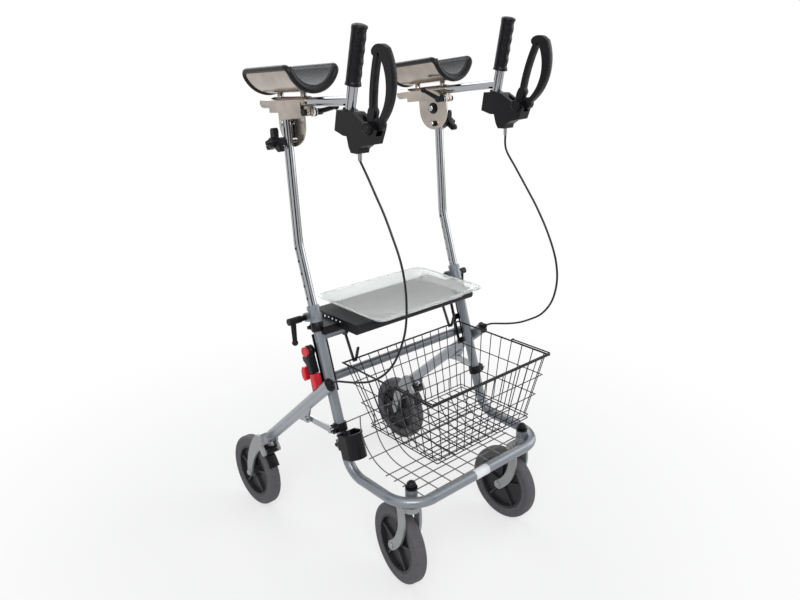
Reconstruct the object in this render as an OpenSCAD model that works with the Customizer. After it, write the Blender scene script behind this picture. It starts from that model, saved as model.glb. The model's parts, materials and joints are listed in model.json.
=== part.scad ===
// Upright walker with forearm supports: a four-wheeled folding frame, two height-adjustable arms,
// a seat panel with a tray, a wire basket and a cane cup. Millimetres, +Z up, the user faces -Y.
// The origin lies on the floor, under the middle of the walker's outline.

/* [Wheels] */
// Diameter of all four wheels
wheel_d = 200; // [180:5:210]
// Width of the tyres
tyre_w = 32; // [26:1:36]
// Depth of the tyre from tread to hub
tyre_depth = 27; // [20:1:32]
// Diameter of the wheel axles
axle_d = 10; // [8:1:12]
// Distance between the rear wheels, centre to centre
rear_track = 540; // [530:2:560]
// Distance of the rear axle behind the origin
rear_axle_y = 266; // [250:2:290]
// Distance between the two caster swivel axes
caster_track = 390; // [370:2:396]
// Distance of the caster swivel axes ahead of the origin
caster_ahead = 296; // [290:1:300]
// Distance of the caster axle behind its swivel axis
caster_trail = 52; // [40:1:60]
// Yaw of the right caster at rest
caster_yaw_right = -10; // [-30:1:30]
// Yaw of the left caster at rest
caster_yaw_left = 0; // [-30:1:30]

/* [Front frame] */
// Outside diameter of the frame tube
frame_tube_d = 25; // [24:0.5:28]
// Distance between the two upright axes
upright_spacing = 472; // [466:2:474]
// Backward lean of the uprights
upright_lean = 17.5; // [15:0.5:20]
// Height of the hoop tube's axis
hoop_z = 258; // [252:1:268]
// Distance ahead of the origin where the upright axis meets the hoop
foot_ahead = 125; // [120:1:130]
// Distance of the hoop's front run ahead of the origin
hoop_ahead = 334; // [330:1:340]
// Bend radius at the foot of the uprights
foot_bend_r = 60; // [50:2:64]
// Bend radius of the hoop's front corners
hoop_corner_r = 75; // [70:1:80]
// Height of the upright tubes' top ends
upright_top_z = 640; // [632:2:650]
// Diameter of the seat's cross tube
cross_tube_d = 22; // [18:1:24]
// Height of the seat's cross tube
cross_tube_z = 583; // [575:1:585]

/* [Stems and arms] */
// Diameter of the height-adjusting stems
stem_d = 22; // [20:0.5:23]
// Wall of the stem tubes
stem_wall = 2; // [1.5:0.5:3]
// Height of the bend in the stems
stem_bend_z = 795; // [785:5:815]
// Lean of the stems above their bend
stem_upper_lean = 4.2; // [2:0.2:7]
// Height of the tilt pivot of the arms
arm_pivot_z = 1031; // [1010:1:1050]
// Distance of the arms from the middle plane
arm_x = 215; // [212:1:217]
// Nose-up tilt of the right arm at rest
tilt_right = 4; // [0:1:10]
// Nose-up tilt of the left arm at rest
tilt_left = 7; // [0:1:10]
// Height of the arm tube's axis above the tilt pivot
arm_tube_up = 82; // [78:1:90]
// Diameter of the arm tube
arm_tube_d = 25; // [24:0.5:28]
// Diameter of the sliding handle bar
handle_bar_d = 20; // [18:0.5:21]
// Right handle post ahead of the tilt pivot
handle_reach_right = 212; // [205:1:240]
// Left handle post ahead of the tilt pivot
handle_reach_left = 230; // [205:1:240]
// Width of the forearm trough
trough_w = 130; // [120:1:136]
// Length of the forearm trough
trough_l = 192; // [170:2:200]
// Thickness of the trough's pad
pad_t = 10; // [7:0.5:13]
// Length of the hand grips
grip_l = 114; // [100:2:120]
// Diameter of the hand grips
grip_d = 33; // [30:0.5:35]

/* [Rear legs] */
// Downward slope of the rear legs
leg_slope = 42; // [41:0.5:43]
// Depth of the leg profile
leg_depth = 30; // [28:1:32]
// Width of the leg profile
leg_w = 20; // [18:1:20]
// Distance of the leg profiles from the middle plane
leg_x = 262; // [261:0.5:264]
// Height where the legs cross the uprights
leg_cross_z = 462; // [456:1:466]
// Height of the link pivots on the uprights
link_z = 370; // [366:1:376]
// Diameter of the fold pivots
fold_pin_d = 8; // [6:0.5:10]
// Diameter of the rear cross bar
rear_bar_d = 22; // [18:1:23]

/* [Seat and basket] */
// Height of the seat panel's top face
seat_z = 622; // [620:1:628]
// Depth of the seat panel from front to back
seat_l = 182; // [176:2:190]
// Width of the seat panel
seat_w = 382; // [360:2:384]
// Height of the tray rim above the seat
tray_h = 25; // [18:1:32]
// Length of the basket's rim from front to back
basket_l = 305; // [290:1:306]
// Width of the basket's rim
basket_w = 396; // [370:2:400]
// Height of the basket's rim
basket_z = 515; // [508:1:522]
// Depth of the basket
basket_h = 165; // [140:1:170]
// Diameter of the basket's wall wires
wire_d = 3; // [2.5:0.5:4]
// Diameter of the basket's rim wire
rim_wire_d = 5; // [4:0.5:6]

/* [Hidden] */
$fn = 48;

// Clearances: radial running fit, gap between faces that move past each other, seam between fixed pieces
run_fit = 0.05;
// Round ends stand this much proud of the straight sides, so their faces cross and don't just touch
end_swell = 0.1;
face_gap = 0.4;
seam = 0.2;
far = 1000;

// Colours
SILVER = "#9a9fa6";
CHROME = "#c9ccd0";
CAST = "#b4b7ba";
BLACK = "#1b1b1d";
DARK = "#3a3b3d";
RED = "#c01828";
CLEAR = "#dfe5e2";

// Places along the uprights
RIGHT = -1;
LEFT = 1;
upright_x = upright_spacing / 2;
function upright_y(z) = -foot_ahead + (z - hoop_z) * tan(upright_lean);
frame_bore_d = stem_d + 2 * run_fit;
wheel_r = wheel_d / 2;
hoop_y = -hoop_ahead;

// Sets its children on an upright's axis at height z, with +Z up the tube and +X outboard
module on_upright(side, z) {
    translate([side * upright_x, upright_y(z), z])
        rotate([-upright_lean, 0, 0])
            mirror([side < 0 ? 1 : 0, 0, 0])
                children();
}

// Sets its children outboard, on the right by mirroring
module on_side(side) {
    mirror([side < 0 ? 1 : 0, 0, 0]) children();
}

// Draws both sides of a mirrored pair
module pair() {
    for (side = [RIGHT, LEFT]) on_side(side) children();
}

// A cylinder along +X from x0 to x1
module rod_x(x0, x1, d) {
    translate([x0, 0, 0]) rotate([0, 90, 0]) cylinder(h = x1 - x0, d = d);
}

// Extrudes a side-view outline, drawn as [y, z], from x0 to x1
module side_plate(x0, x1) {
    translate([x0, 0, 0]) rotate([90, 0, 90]) linear_extrude(x1 - x0) children();
}

// A curved bar of width w from a to b, standing bulge off the straight line between them.
// A taper makes it that much wider at a and narrower at b
module curved_bar(a, b, bulge, w, taper = 0) {
    chord = b - a;
    half = norm(chord) / 2;
    bow = abs(bulge);
    r = (half * half + bow * bow) / (2 * bow);
    across = [-chord.y, chord.x] / norm(chord) * sign(bulge);
    centre = (a + b) / 2 - across * (r - bow);
    start = a - centre;
    finish = b - centre;
    reach = 3 * r;
    shift = chord / norm(chord) * taper * r / norm(chord);
    intersection() {
        difference() {
            translate(centre - shift) circle(r + w / 2);
            translate(centre + shift) circle(r - w / 2);
        }
        polygon([centre, centre + start / r * reach, centre + across * reach, centre + finish / r * reach]);
    }
    translate(a) circle(d = w + taper + end_swell);
    translate(b) circle(d = w - taper + end_swell);
}

// Outline of a slot with round ends between two points
module slot_outline(a, b, w) {
    run = b - a;
    translate(a) rotate(atan2(run.y, run.x)) translate([0, -w / 2]) square([norm(run), w]);
    for (p = [a, b]) translate(p) circle(d = w + end_swell);
}

// A round wire between two points, with flat sides
module wire(a, b, d) {
    run = b - a;
    reach = norm(run);
    translate(a)
        rotate([0, acos(run.z / reach), atan2(run.y, run.x)])
            cylinder(h = reach, d = d, $fn = 8);
}

// A tapered block: the overlap of its front-view and side-view outlines
module tapered_block(x_low, x_high, y_low, y_high, z_low, z_high) {
    intersection() {
        translate([0, far, 0]) rotate([90, 0, 0]) linear_extrude(2 * far)
            polygon([[-x_low, z_low], [x_low, z_low], [x_high, z_high], [-x_high, z_high]]);
        side_plate(-far, far)
            polygon([[y_low[0], z_low], [y_low[1], z_low], [y_high[1], z_high], [y_high[0], z_high]]);
    }
}

// Front frame: uprights, foot bends and the hoop in one bent tube
foot_turn = 90 - upright_lean;
foot_tangent = foot_bend_r * tan(foot_turn / 2);
upright_run = (upright_top_z - hoop_z) / cos(upright_lean) - foot_tangent;
side_run = hoop_ahead - hoop_corner_r - foot_ahead - foot_tangent;

// The straight runs end inside the bends, which stand a hair proud of them
bend_swell = 0.4;
bend_lap = 3;
bend_d = frame_tube_d + bend_swell;

module frame_half() {
    on_upright(LEFT, hoop_z) translate([0, 0, foot_tangent - bend_lap])
        cylinder(h = upright_run + bend_lap, d = frame_tube_d);
    translate([upright_x, -foot_ahead - foot_tangent, hoop_z + foot_bend_r]) rotate([0, 90, 0])
        rotate_extrude(angle = foot_turn) translate([foot_bend_r, 0]) circle(d = bend_d);
    translate([upright_x, -foot_ahead - foot_tangent + bend_lap, hoop_z]) rotate([90, 0, 0])
        cylinder(h = side_run + 2 * bend_lap, d = frame_tube_d);
    translate([upright_x - hoop_corner_r, hoop_y + hoop_corner_r, hoop_z]) rotate([0, 0, -90])
        rotate_extrude(angle = 90) translate([hoop_corner_r, 0]) circle(d = bend_d);
}

module frame_path() {
    run = upright_x - hoop_corner_r + bend_lap;
    pair() frame_half();
    translate([0, hoop_y, hoop_z]) rod_x(-run, run, frame_tube_d);
}

// Caster sockets on the inside of the hoop's corners
caster_x = caster_track / 2;
caster_y = -caster_ahead;
socket_d = 29;
socket_up = 22;
socket_down = 20;
caster_pin_d = 12;
socket_top_z = hoop_z + socket_up;
socket_low_z = hoop_z - socket_down;

module front_frame_tube() {
    color(SILVER) difference() {
        union() {
            frame_path();
            pair() translate([caster_x, caster_y, socket_low_z])
                cylinder(h = socket_up + socket_down, d = socket_d);
        }
        pair() on_upright(LEFT, hoop_z) translate([0, 0, foot_tangent + bend_lap])
            cylinder(h = upright_run, d = frame_bore_d);
        pair() translate([caster_x, caster_y, socket_low_z - 1])
            cylinder(h = socket_up + socket_down + 2, d = caster_pin_d + 2 * run_fit);
    }
}

module seat_crossbar() {
    color(SILVER) difference() {
        translate([0, upright_y(cross_tube_z), cross_tube_z]) rod_x(-upright_x, upright_x, cross_tube_d);
        translate([0, upright_y(cross_tube_z), cross_tube_z])
            rod_x(-upright_x, upright_x, cross_tube_d - 3);
        for (side = [RIGHT, LEFT]) on_upright(side, cross_tube_z)
            cylinder(h = 4 * cross_tube_d, d = frame_tube_d + 2 * run_fit, center = true);
    }
}

// Acorn caps over the caster sockets
cap_ball_r = 11.5;
module caster_caps() {
    color(BLACK) pair() translate([caster_x, caster_y, socket_top_z + seam]) rotate_extrude() difference() {
        union() {
            square([socket_d / 2, 5]);
            translate([0, 9]) circle(cap_ball_r);
        }
        translate([-far, -far / 2]) square(far);
        translate([-far / 2, -far]) square(far);
    }
}

// Height collars on the upright tops, with a clamp ear behind
collar_z = 634;
collar_d = 29;
collar_up = 22;
collar_down = 18;
ear_back = 24;
ear_w = 12;
clamp_bolt_d = 8;
collar_ring_d = 31;

module height_collars() {
    color(SILVER) for (side = [RIGHT, LEFT]) on_upright(side, collar_z) difference() {
        union() {
            translate([0, 0, -collar_down]) cylinder(h = collar_up + collar_down, d = collar_d);
            translate([0, 0, collar_up - 10]) cylinder(h = 7, d = collar_ring_d);
            translate([0, 0, -collar_down]) cylinder(h = 6, d = collar_ring_d);
            side_plate(-ear_w, ear_w) slot_outline([0, -4], [ear_back, -4], 22);
        }
        translate([0, 0, -far / 2]) cylinder(h = far, d = stem_d + 2 * run_fit);
        tube_end = (upright_top_z - collar_z) / cos(upright_lean);
        translate([0, 0, tube_end + seam - far]) cylinder(h = far, d = frame_tube_d + 2 * run_fit);
        translate([-1, 0, -far / 2]) cube([2, far, far]);
        translate([0, ear_back, -4]) rod_x(-far, far, clamp_bolt_d + 2 * run_fit);
    }
}

// T-shaped clamping levers of the height collars
lever_arm_l = 54;
module height_lever(side) {
    color(BLACK) on_upright(side, collar_z) translate([0, ear_back, -4]) {
        rod_x(-ear_w - 6, ear_w + face_gap, clamp_bolt_d);
        rod_x(-ear_w - 8, -ear_w - face_gap, 15);
        rod_x(ear_w + face_gap, ear_w + 20, 14);
        rod_x(ear_w + 14, ear_w + 48, 17);
        translate([ear_w + 35, 0, 0]) rotate([180 + 14, 0, 0]) {
            cylinder(h = lever_arm_l, d1 = 14, d2 = 11);
            translate([0, 0, lever_arm_l]) sphere(d = 15);
        }
    }
}

// Slotted guide plates behind the uprights, along which the rear cross bar slides when the frame folds
guide_t = 3;
guide_w = 40;
guide_slot_w = 12;
guide_low_z = 448;
guide_high_z = 590;
guide_l = (guide_high_z - guide_low_z) / cos(upright_lean);
module fold_guides() {
    color(BLACK) for (side = [RIGHT, LEFT]) on_upright(side, guide_low_z)
        translate([-guide_w / 2 - 8, frame_tube_d / 2 + seam, 0]) difference() {
            union() {
                cube([guide_w, guide_t, guide_l]);
                translate([guide_w / 2 + 2, -5, 4]) cube([12, 6, 14]);
                translate([guide_w / 2 + 2, -5, guide_l - 18]) cube([12, 6, 14]);
            }
            translate([guide_w / 2 + 8, -frame_tube_d / 2 - seam, -1])
                cylinder(h = guide_l + 2, d = frame_tube_d + 2 * run_fit);
            for (low = [0.1, 0.55]) translate([8, -1, guide_l * low])
                cube([guide_slot_w, guide_t + 2, guide_l * 0.35]);
        }
}

// Leg frame: +Y runs down the leg from where it crosses the upright, +Z stands off its top face
module on_leg() {
    translate([0, upright_y(leg_cross_z), leg_cross_z]) rotate([-leg_slope, 0, 0]) children();
}

// Fold linkage: link pivots on the uprights, lug pivots under the legs
lug_along = 111;
lug_below = 29;
lug_pivot_y = upright_y(leg_cross_z) + lug_along * cos(leg_slope) - lug_below * sin(leg_slope);
lug_pivot_z = leg_cross_z - lug_along * sin(leg_slope) - lug_below * cos(leg_slope);
link_w = 16;
link_in_x = leg_x - 3;
link_t = 5;
lug_t = 6;
lug_in_x = link_in_x + link_t + face_gap;
bush_d = 24;

module link_bushes() {
    color(BLACK) for (side = [RIGHT, LEFT]) on_side(side) difference() {
        translate([0, upright_y(link_z), link_z]) union() {
            rod_x(upright_x, link_in_x - face_gap, bush_d);
            translate([upright_x, 0, 0]) rotate([-upright_lean, 0, 0])
                translate([0, 0, 2 - bush_d / 2]) cylinder(h = bush_d - 4, d = frame_tube_d + 8);
        }
        on_upright(LEFT, link_z)
            cylinder(h = 6 * bush_d, d = frame_tube_d + 2 * run_fit, center = true);
        translate([0, upright_y(link_z), link_z])
            rod_x(upright_x + frame_tube_d / 2 + 1, link_in_x + 1, fold_pin_d + 2 * run_fit);
    }
}

module fold_links() {
    from = [upright_y(link_z), link_z];
    to = [lug_pivot_y, lug_pivot_z];
    head_d = fold_pin_d + 5;
    color(CHROME) pair() {
        side_plate(link_in_x, link_in_x + link_t) slot_outline(from, to, link_w);
        translate([0, from.x, from.y]) {
            rod_x(upright_x + frame_tube_d / 2 + 1.5, link_in_x + 1, fold_pin_d);
            rod_x(link_in_x + link_t - 1, link_in_x + link_t + 5, head_d);
        }
        translate([0, to.x, to.y]) {
            rod_x(link_in_x + 1, lug_in_x + lug_t + 1, fold_pin_d);
            rod_x(lug_in_x + lug_t + face_gap, lug_in_x + lug_t + 5, head_d);
        }
    }
}

// Rear legs: grooved hollow profiles with a lug under each
leg_over = 38;
leg_l = 350;
leg_wall = 2;
groove_d = 3;
module leg_outline(w, depth) {
    slot_outline([0, -(depth - w) / 2], [0, (depth - w) / 2], w);
}

module rear_legs() {
    color(SILVER) pair() on_leg() {
        difference() {
            translate([leg_x, leg_l, 0]) rotate([90, 0, 0]) linear_extrude(leg_l + leg_over) difference() {
                leg_outline(leg_w, leg_depth);
                leg_outline(leg_w - 2 * leg_wall, leg_depth - 2 * leg_wall);
                for (s = [-1, 1]) translate([s * leg_w / 2, 0]) circle(d = groove_d / 2);
            }
        }
        difference() {
            side_plate(lug_in_x, lug_in_x + lug_t) {
                translate([lug_along, -lug_below]) circle(d = 22);
                polygon([[lug_along - 40, -leg_depth / 2 + 4], [lug_along + 44, -leg_depth / 2 + 4],
                         [lug_along + 10, -lug_below - 4], [lug_along - 11, -lug_below]]);
            }
            translate([leg_x, 0, 0]) rotate([-90, 0, 0]) linear_extrude(far)
                leg_outline(leg_w - 2 * leg_wall, leg_depth - 2 * leg_wall);
            translate([0, lug_along, -lug_below]) rod_x(0, far, fold_pin_d + 2 * run_fit);
        }
    }
}

// Cross bar between the legs, on a flange at each end
bar_along = 20;
bar_above = 28;
flange_t = 2.2;
flange_x = leg_x - leg_w / 2 - seam;
module rear_crossbar() {
    color(DARK) on_leg() {
        translate([0, bar_along, bar_above]) difference() {
            rod_x(-flange_x, flange_x, rear_bar_d);
            rod_x(-flange_x + flange_t, flange_x - flange_t, rear_bar_d - 4);
        }
        pair() side_plate(flange_x - flange_t, flange_x)
            slot_outline([bar_along, bar_above], [bar_along, 2], rear_bar_d + 4);
    }
}

// Black plugs in the upper leg ends, where the brake cables run in
plug_l = 16;
cable_d = 5;
module leg_caps() {
    color(BLACK) pair() on_leg() translate([leg_x, -leg_over - seam, 0]) rotate([90, 0, 0]) {
        linear_extrude(4) leg_outline(leg_w + 2, leg_depth + 2);
        translate([0, 0, 4]) cylinder(h = plug_l - 4, d1 = leg_w, d2 = 12);
    }
}

// Rear forks: a crown on the leg end, two curved arms and the axle
rear_x = rear_track / 2;
fork_gap = 3;
fork_arm_t = 7;
fork_in = tyre_w / 2 + fork_gap;
fork_out = fork_in + fork_arm_t;
crown_l = 22;
fork_bulge = 12;
fork_bar_w = 24;
blade_w = 30;
blade_taper = 10;
leg_reach = leg_l + 8;
leg_end = [upright_y(leg_cross_z) + leg_reach * cos(leg_slope), leg_cross_z - leg_reach * sin(leg_slope)];
rear_axle = [rear_axle_y, wheel_r];
shoe_pin_d = 10;
adjuster_d = 9;
shoe_turn = 14;
function turned(p, c, a) = c + [(p - c).x * cos(a) - (p - c).y * sin(a),
                                (p - c).x * sin(a) + (p - c).y * cos(a)];
shoe_reach = wheel_r + 26;
shoe_out = (leg_end - rear_axle) / norm(leg_end - rear_axle);
shoe_pivot = turned(rear_axle + shoe_out * shoe_reach, rear_axle, shoe_turn);

module rear_fork() {
    for (x = [rear_x - fork_out, rear_x + fork_in]) side_plate(x, x + fork_arm_t)
        curved_bar(leg_end, rear_axle, fork_bulge, blade_w, blade_taper);
    on_leg() translate([rear_x - fork_out, leg_l + seam, -leg_depth / 2])
        cube([2 * fork_out, crown_l - 6, leg_depth]);
    // Cable adjuster under the leg, on a lug of the crown
    on_leg() translate([rear_x, leg_l, -leg_depth / 2]) {
        translate([-3, seam, -adjuster_d / 2 - 1]) cube([6, 10, adjuster_d]);
        translate([0, -14, -adjuster_d / 2 - 1]) rotate([-90, 0, 0]) cylinder(h = 17, d = adjuster_d);
    }
    translate([0, rear_axle.x, rear_axle.y]) {
        rod_x(rear_x - fork_out, rear_x + fork_out, axle_d);
        rod_x(rear_x + fork_out - 1, rear_x + fork_out + 4, 15);
    }
    translate([0, shoe_pivot.x, shoe_pivot.y])
        rod_x(rear_x - fork_in - 2, rear_x + fork_in + 2, shoe_pin_d);
    for (x = [rear_x - fork_out, rear_x + fork_in]) side_plate(x, x + fork_arm_t)
        slot_outline(leg_end, shoe_pivot, 18);
}

module rear_forks() {
    color(CAST) pair() rear_fork();
}

// Brake shoes: a guard over the tread, hung on a pin between the fork arms
shoe_gap = 4;
shoe_t = 5;
shoe_w = tyre_w - 2;
module brake_shoe(side) {
    a = atan2(shoe_pivot.y - rear_axle.y, shoe_pivot.x - rear_axle.x);
    inner = wheel_r + shoe_gap;
    span = 22;
    color(BLACK) on_side(side) translate([rear_x, 0, 0]) difference() {
        side_plate(-shoe_w / 2, shoe_w / 2) {
            intersection() {
                translate(rear_axle) difference() {
                    circle(inner + shoe_t);
                    circle(inner);
                }
                translate(rear_axle) rotate(a)
                    polygon([[0, 0], [far, -far * tan(span)], [far, far * tan(span)]]);
            }
            translate(shoe_pivot) circle(d = shoe_pin_d + 8);
            slot_outline(shoe_pivot, rear_axle + [cos(a), sin(a)] * (inner + shoe_t / 2), 8);
        }
        translate([0, shoe_pivot.x, shoe_pivot.y]) rod_x(-far, far, shoe_pin_d + 2 * run_fit);
    }
}

// Wheels: a ribbed hub with recessed discs, and a round-shouldered tyre
hub_r = wheel_r - tyre_depth;
hub_boss_d = 34;
hub_ribs = 5;
hub_disc_t = 8;
module wheel_hub() {
    rim_w = tyre_w - 4;
    difference() {
        union() {
            rod_x(-hub_disc_t / 2, hub_disc_t / 2, 2 * hub_r);
            difference() {
                rod_x(-rim_w / 2, rim_w / 2, 2 * hub_r - 2 * seam);
                rod_x(-far, far, 2 * hub_r - 12);
            }
            rod_x(-tyre_w / 2 - 1, tyre_w / 2 + 1, hub_boss_d);
            for (k = [0 : hub_ribs - 1]) rotate([k * 360 / hub_ribs, 0, 0])
                translate([-rim_w / 2 + 3, -3, hub_boss_d / 2 - 4])
                    cube([rim_w - 6, 6, hub_r - hub_boss_d / 2 + 1]);
        }
        rod_x(-far, far, axle_d + 2 * run_fit);
    }
}

module tyre() {
    shoulder = 9;
    bottom = hub_r + seam;
    rotate([0, 90, 0]) rotate_extrude($fn = 96) difference() {
        union() {
            translate([bottom, -tyre_w / 2 + 2]) square([wheel_r - bottom - shoulder, tyre_w - 4]);
            translate([bottom, -tyre_w / 2 + shoulder]) square([wheel_r - bottom, tyre_w - 2 * shoulder]);
            for (s = [-1, 1]) translate([wheel_r - shoulder, s * (tyre_w / 2 - shoulder)]) circle(shoulder);
        }
        translate([0, -far / 2]) square([bottom, far]);
    }
}

module rear_hub(side) {
    color(DARK) translate([side * rear_x, rear_axle_y, wheel_r]) wheel_hub();
}

module rear_tyre(side) {
    color("#6e6c6b") translate([side * rear_x, rear_axle_y, wheel_r]) tyre();
}

// Casters: the fork turns about its pin, the wheel trails behind
function caster_yaw(side) = side == RIGHT ? caster_yaw_right : caster_yaw_left;
module on_caster(side) {
    translate([side * caster_x, caster_y, 0]) rotate([0, 0, caster_yaw(side)]) children();
}

caster_crown_t = 14;
caster_crown_z = socket_low_z - 1 - caster_crown_t;
module caster_fork(side) {
    top = [14, caster_crown_z + caster_crown_t / 2];
    color(CAST) on_caster(side) {
        translate([0, 0, caster_crown_z]) cylinder(h = socket_top_z - 2 - caster_crown_z, d = caster_pin_d);
        translate([0, 0, caster_crown_z]) cylinder(h = caster_crown_t, d = 40);
        translate([0, 0, caster_crown_z + caster_crown_t - 1]) cylinder(h = 2 - 0.5, d = 26);
        translate([-fork_out, -6, caster_crown_z]) cube([2 * fork_out, 34, caster_crown_t]);
        for (x = [-fork_out, fork_in]) side_plate(x, x + fork_arm_t)
            curved_bar(top, [caster_trail, wheel_r], -23, fork_bar_w);
        translate([0, caster_trail, wheel_r]) {
            rod_x(-fork_out, fork_out, axle_d);
            for (x = [-fork_out - 3, fork_out - 1]) rod_x(x, x + 4, 16);
        }
    }
}

module front_hub(side) {
    color(DARK) on_caster(side) translate([0, caster_trail, wheel_r]) wheel_hub();
}

module front_tyre(side) {
    color("#6e6c6b") on_caster(side) translate([0, caster_trail, wheel_r]) tyre();
}

// Fold latch on the right leg: a block with a red catch, a swing lever and a push button
latch_in_x = leg_x - leg_w / 2;
latch_w = leg_w;
latch_pin = [33, 82];
module on_latch() {
    on_side(RIGHT) translate([0, upright_y(leg_cross_z), leg_cross_z])
        rotate([-upright_lean, 0, 0]) children();
}

button_at = [22, 98];
barrel_l = 13;
press = 3;
module latch_body() {
    color(BLACK) on_side(RIGHT) difference() {
        union() {
            translate([0, upright_y(leg_cross_z), leg_cross_z]) rotate([-upright_lean, 0, 0]) {
                side_plate(latch_in_x, latch_in_x + latch_w)
                    polygon([[8, 10], [40, -6], [26, 50], [26, 88], [12, 92]]);
                translate([0, button_at.x, button_at.y]) rod_x(latch_in_x, latch_in_x + barrel_l, 27);
                for (x = [latch_in_x, latch_in_x + latch_w - 5]) side_plate(x, x + 5)
                    slot_outline([20, latch_pin.y], latch_pin, 10);
                translate([0, latch_pin.x, latch_pin.y]) rod_x(latch_in_x, latch_in_x + latch_w, 4);
            }
        }
        on_leg() translate([leg_x, -far / 2, 0]) rotate([-90, 0, 0]) linear_extrude(far) union() {
            leg_outline(leg_w + 2 * seam, leg_depth + 2 * seam);
            translate([-far / 2, 0]) square([far, far]);
        }
        translate([0, upright_y(leg_cross_z), leg_cross_z]) rotate([-upright_lean, 0, 0])
            translate([0, button_at.x, button_at.y]) {
                rod_x(latch_in_x + 6, far, 18 + 2 * run_fit);
                rod_x(latch_in_x + barrel_l, far, 25);
            }
    }
}

module latch_lever() {
    color(RED) on_latch() difference() {
        side_plate(latch_in_x + 5 + face_gap, latch_in_x + latch_w - 5 - face_gap) {
            slot_outline(latch_pin, latch_pin + [4, -18], 11);
            slot_outline(latch_pin + [4, -18], latch_pin + [2, -34], 11);
        }
        side_plate(latch_in_x - 3, latch_in_x + latch_w + 3)
            slot_outline(latch_pin + [4, -22], latch_pin + [2, -36], 11.4);
        translate([0, latch_pin.x, latch_pin.y]) rod_x(0, far, 4 + 2 * run_fit);
    }
}

module latch_button() {
    color(RED) on_latch() translate([0, button_at.x, button_at.y]) {
        rod_x(latch_in_x + 6 + press + face_gap, latch_in_x + barrel_l + press + 2, 18);
        rod_x(latch_in_x + barrel_l + press + face_gap, latch_in_x + latch_w + 2, 24);
    }
}

// Stems: bent tubes that slide in the uprights, with adjusting holes
stem_low_z = 425;
stem_turn = upright_lean - stem_upper_lean;
stem_bend_r = 120;
stem_tangent = stem_bend_r * tan(stem_turn / 2);
stem_low_run = (stem_bend_z - stem_low_z) / cos(upright_lean) - stem_tangent;
guide_pin_up = 39;
stem_end_up = 46;
stem_top_run = (arm_pivot_z - stem_bend_z) / cos(stem_upper_lean) - stem_tangent + stem_end_up;
arm_pivot_y = upright_y(stem_bend_z) + (arm_pivot_z - stem_bend_z) * tan(stem_upper_lean);
guide_pin_d = 6;
pivot_bolt_d = 8;
hole_d = 6;
hole_pitch = 30;
hole_count = 5;
first_hole_z = 672;
plate_t = 5;
washer_t = 1.5;
plate_out_x = upright_x - stem_d / 2 - washer_t - face_gap;

module stem_path() {
    bend_y = upright_y(stem_bend_z) - stem_tangent * sin(upright_lean);
    bend_z = stem_bend_z - stem_tangent * cos(upright_lean);
    on_upright(LEFT, stem_low_z) cylinder(h = stem_low_run + bend_lap, d = stem_d);
    translate([upright_x, bend_y, bend_z])
        translate([0, -stem_bend_r * cos(upright_lean), stem_bend_r * sin(upright_lean)])
        rotate([-upright_lean, 0, 0]) rotate([90, 0, 90])
            rotate_extrude(angle = stem_turn) translate([stem_bend_r, 0]) circle(d = stem_d + bend_swell);
    translate([upright_x, upright_y(stem_bend_z), stem_bend_z]) rotate([-stem_upper_lean, 0, 0])
        translate([0, 0, stem_tangent - bend_lap]) cylinder(h = stem_top_run + bend_lap, d = stem_d);
}

module stem(side) {
    color(CHROME) on_side(side) difference() {
        union() {
            stem_path();
            translate([0, arm_pivot_y, arm_pivot_z])
                rod_x(plate_out_x + face_gap, upright_x, 18);
            translate([0, arm_pivot_y, arm_pivot_z]) rotate([-stem_upper_lean, 0, 0])
                translate([0, 0, guide_pin_up]) {
                    rod_x(plate_out_x - plate_t - 6, upright_x + stem_d / 2 + 5, guide_pin_d);
                    rod_x(plate_out_x - plate_t - 6, plate_out_x - plate_t - face_gap, guide_pin_d + 7);
                }
        }
        on_upright(LEFT, stem_low_z) translate([0, 0, -1])
            cylinder(h = stem_low_run - 10, d = stem_d - 2 * stem_wall);
        translate([0, arm_pivot_y, arm_pivot_z]) rod_x(0, far, pivot_bolt_d + 2 * run_fit);
        for (k = [0 : hole_count - 1])
            on_upright(LEFT, first_hole_z + k * hole_pitch * cos(upright_lean)) rod_x(-far, far, hole_d);
    }
}

// Arms: everything is drawn about the tilt pivot, level, then tilted
function arm_tilt(side) = side == RIGHT ? tilt_right : tilt_left;
module on_arm(side) {
    translate([side * arm_x, arm_pivot_y, arm_pivot_z]) rotate([-arm_tilt(side), 0, 0])
        mirror([side < 0 ? 1 : 0, 0, 0]) children();
}

arm_tube_back = 118;
arm_tube_front = 66;
plate_r = 50;
plate_out = plate_out_x - arm_x;
saddle_h = 22;
saddle_w = 28;
saddle_front = 49;
saddle_back = 77;
bar_bore_d = handle_bar_d + 2 * run_fit;
bar_bolt_below = 22;
bar_bolt_ahead = arm_tube_front - 8;
bar_ear_w = 9;
trough_gap = 8;
trough_half_angle = 76;
trough_r = trough_w / 2 / sin(trough_half_angle);
trough_shell_t = 2.5;
trough_up = arm_tube_up + arm_tube_d / 2 + trough_gap + trough_r;
trough_edge_l = 8;
trough_bead_r = 6.5;
post_d = 14;
post_spread = 46;

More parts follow.
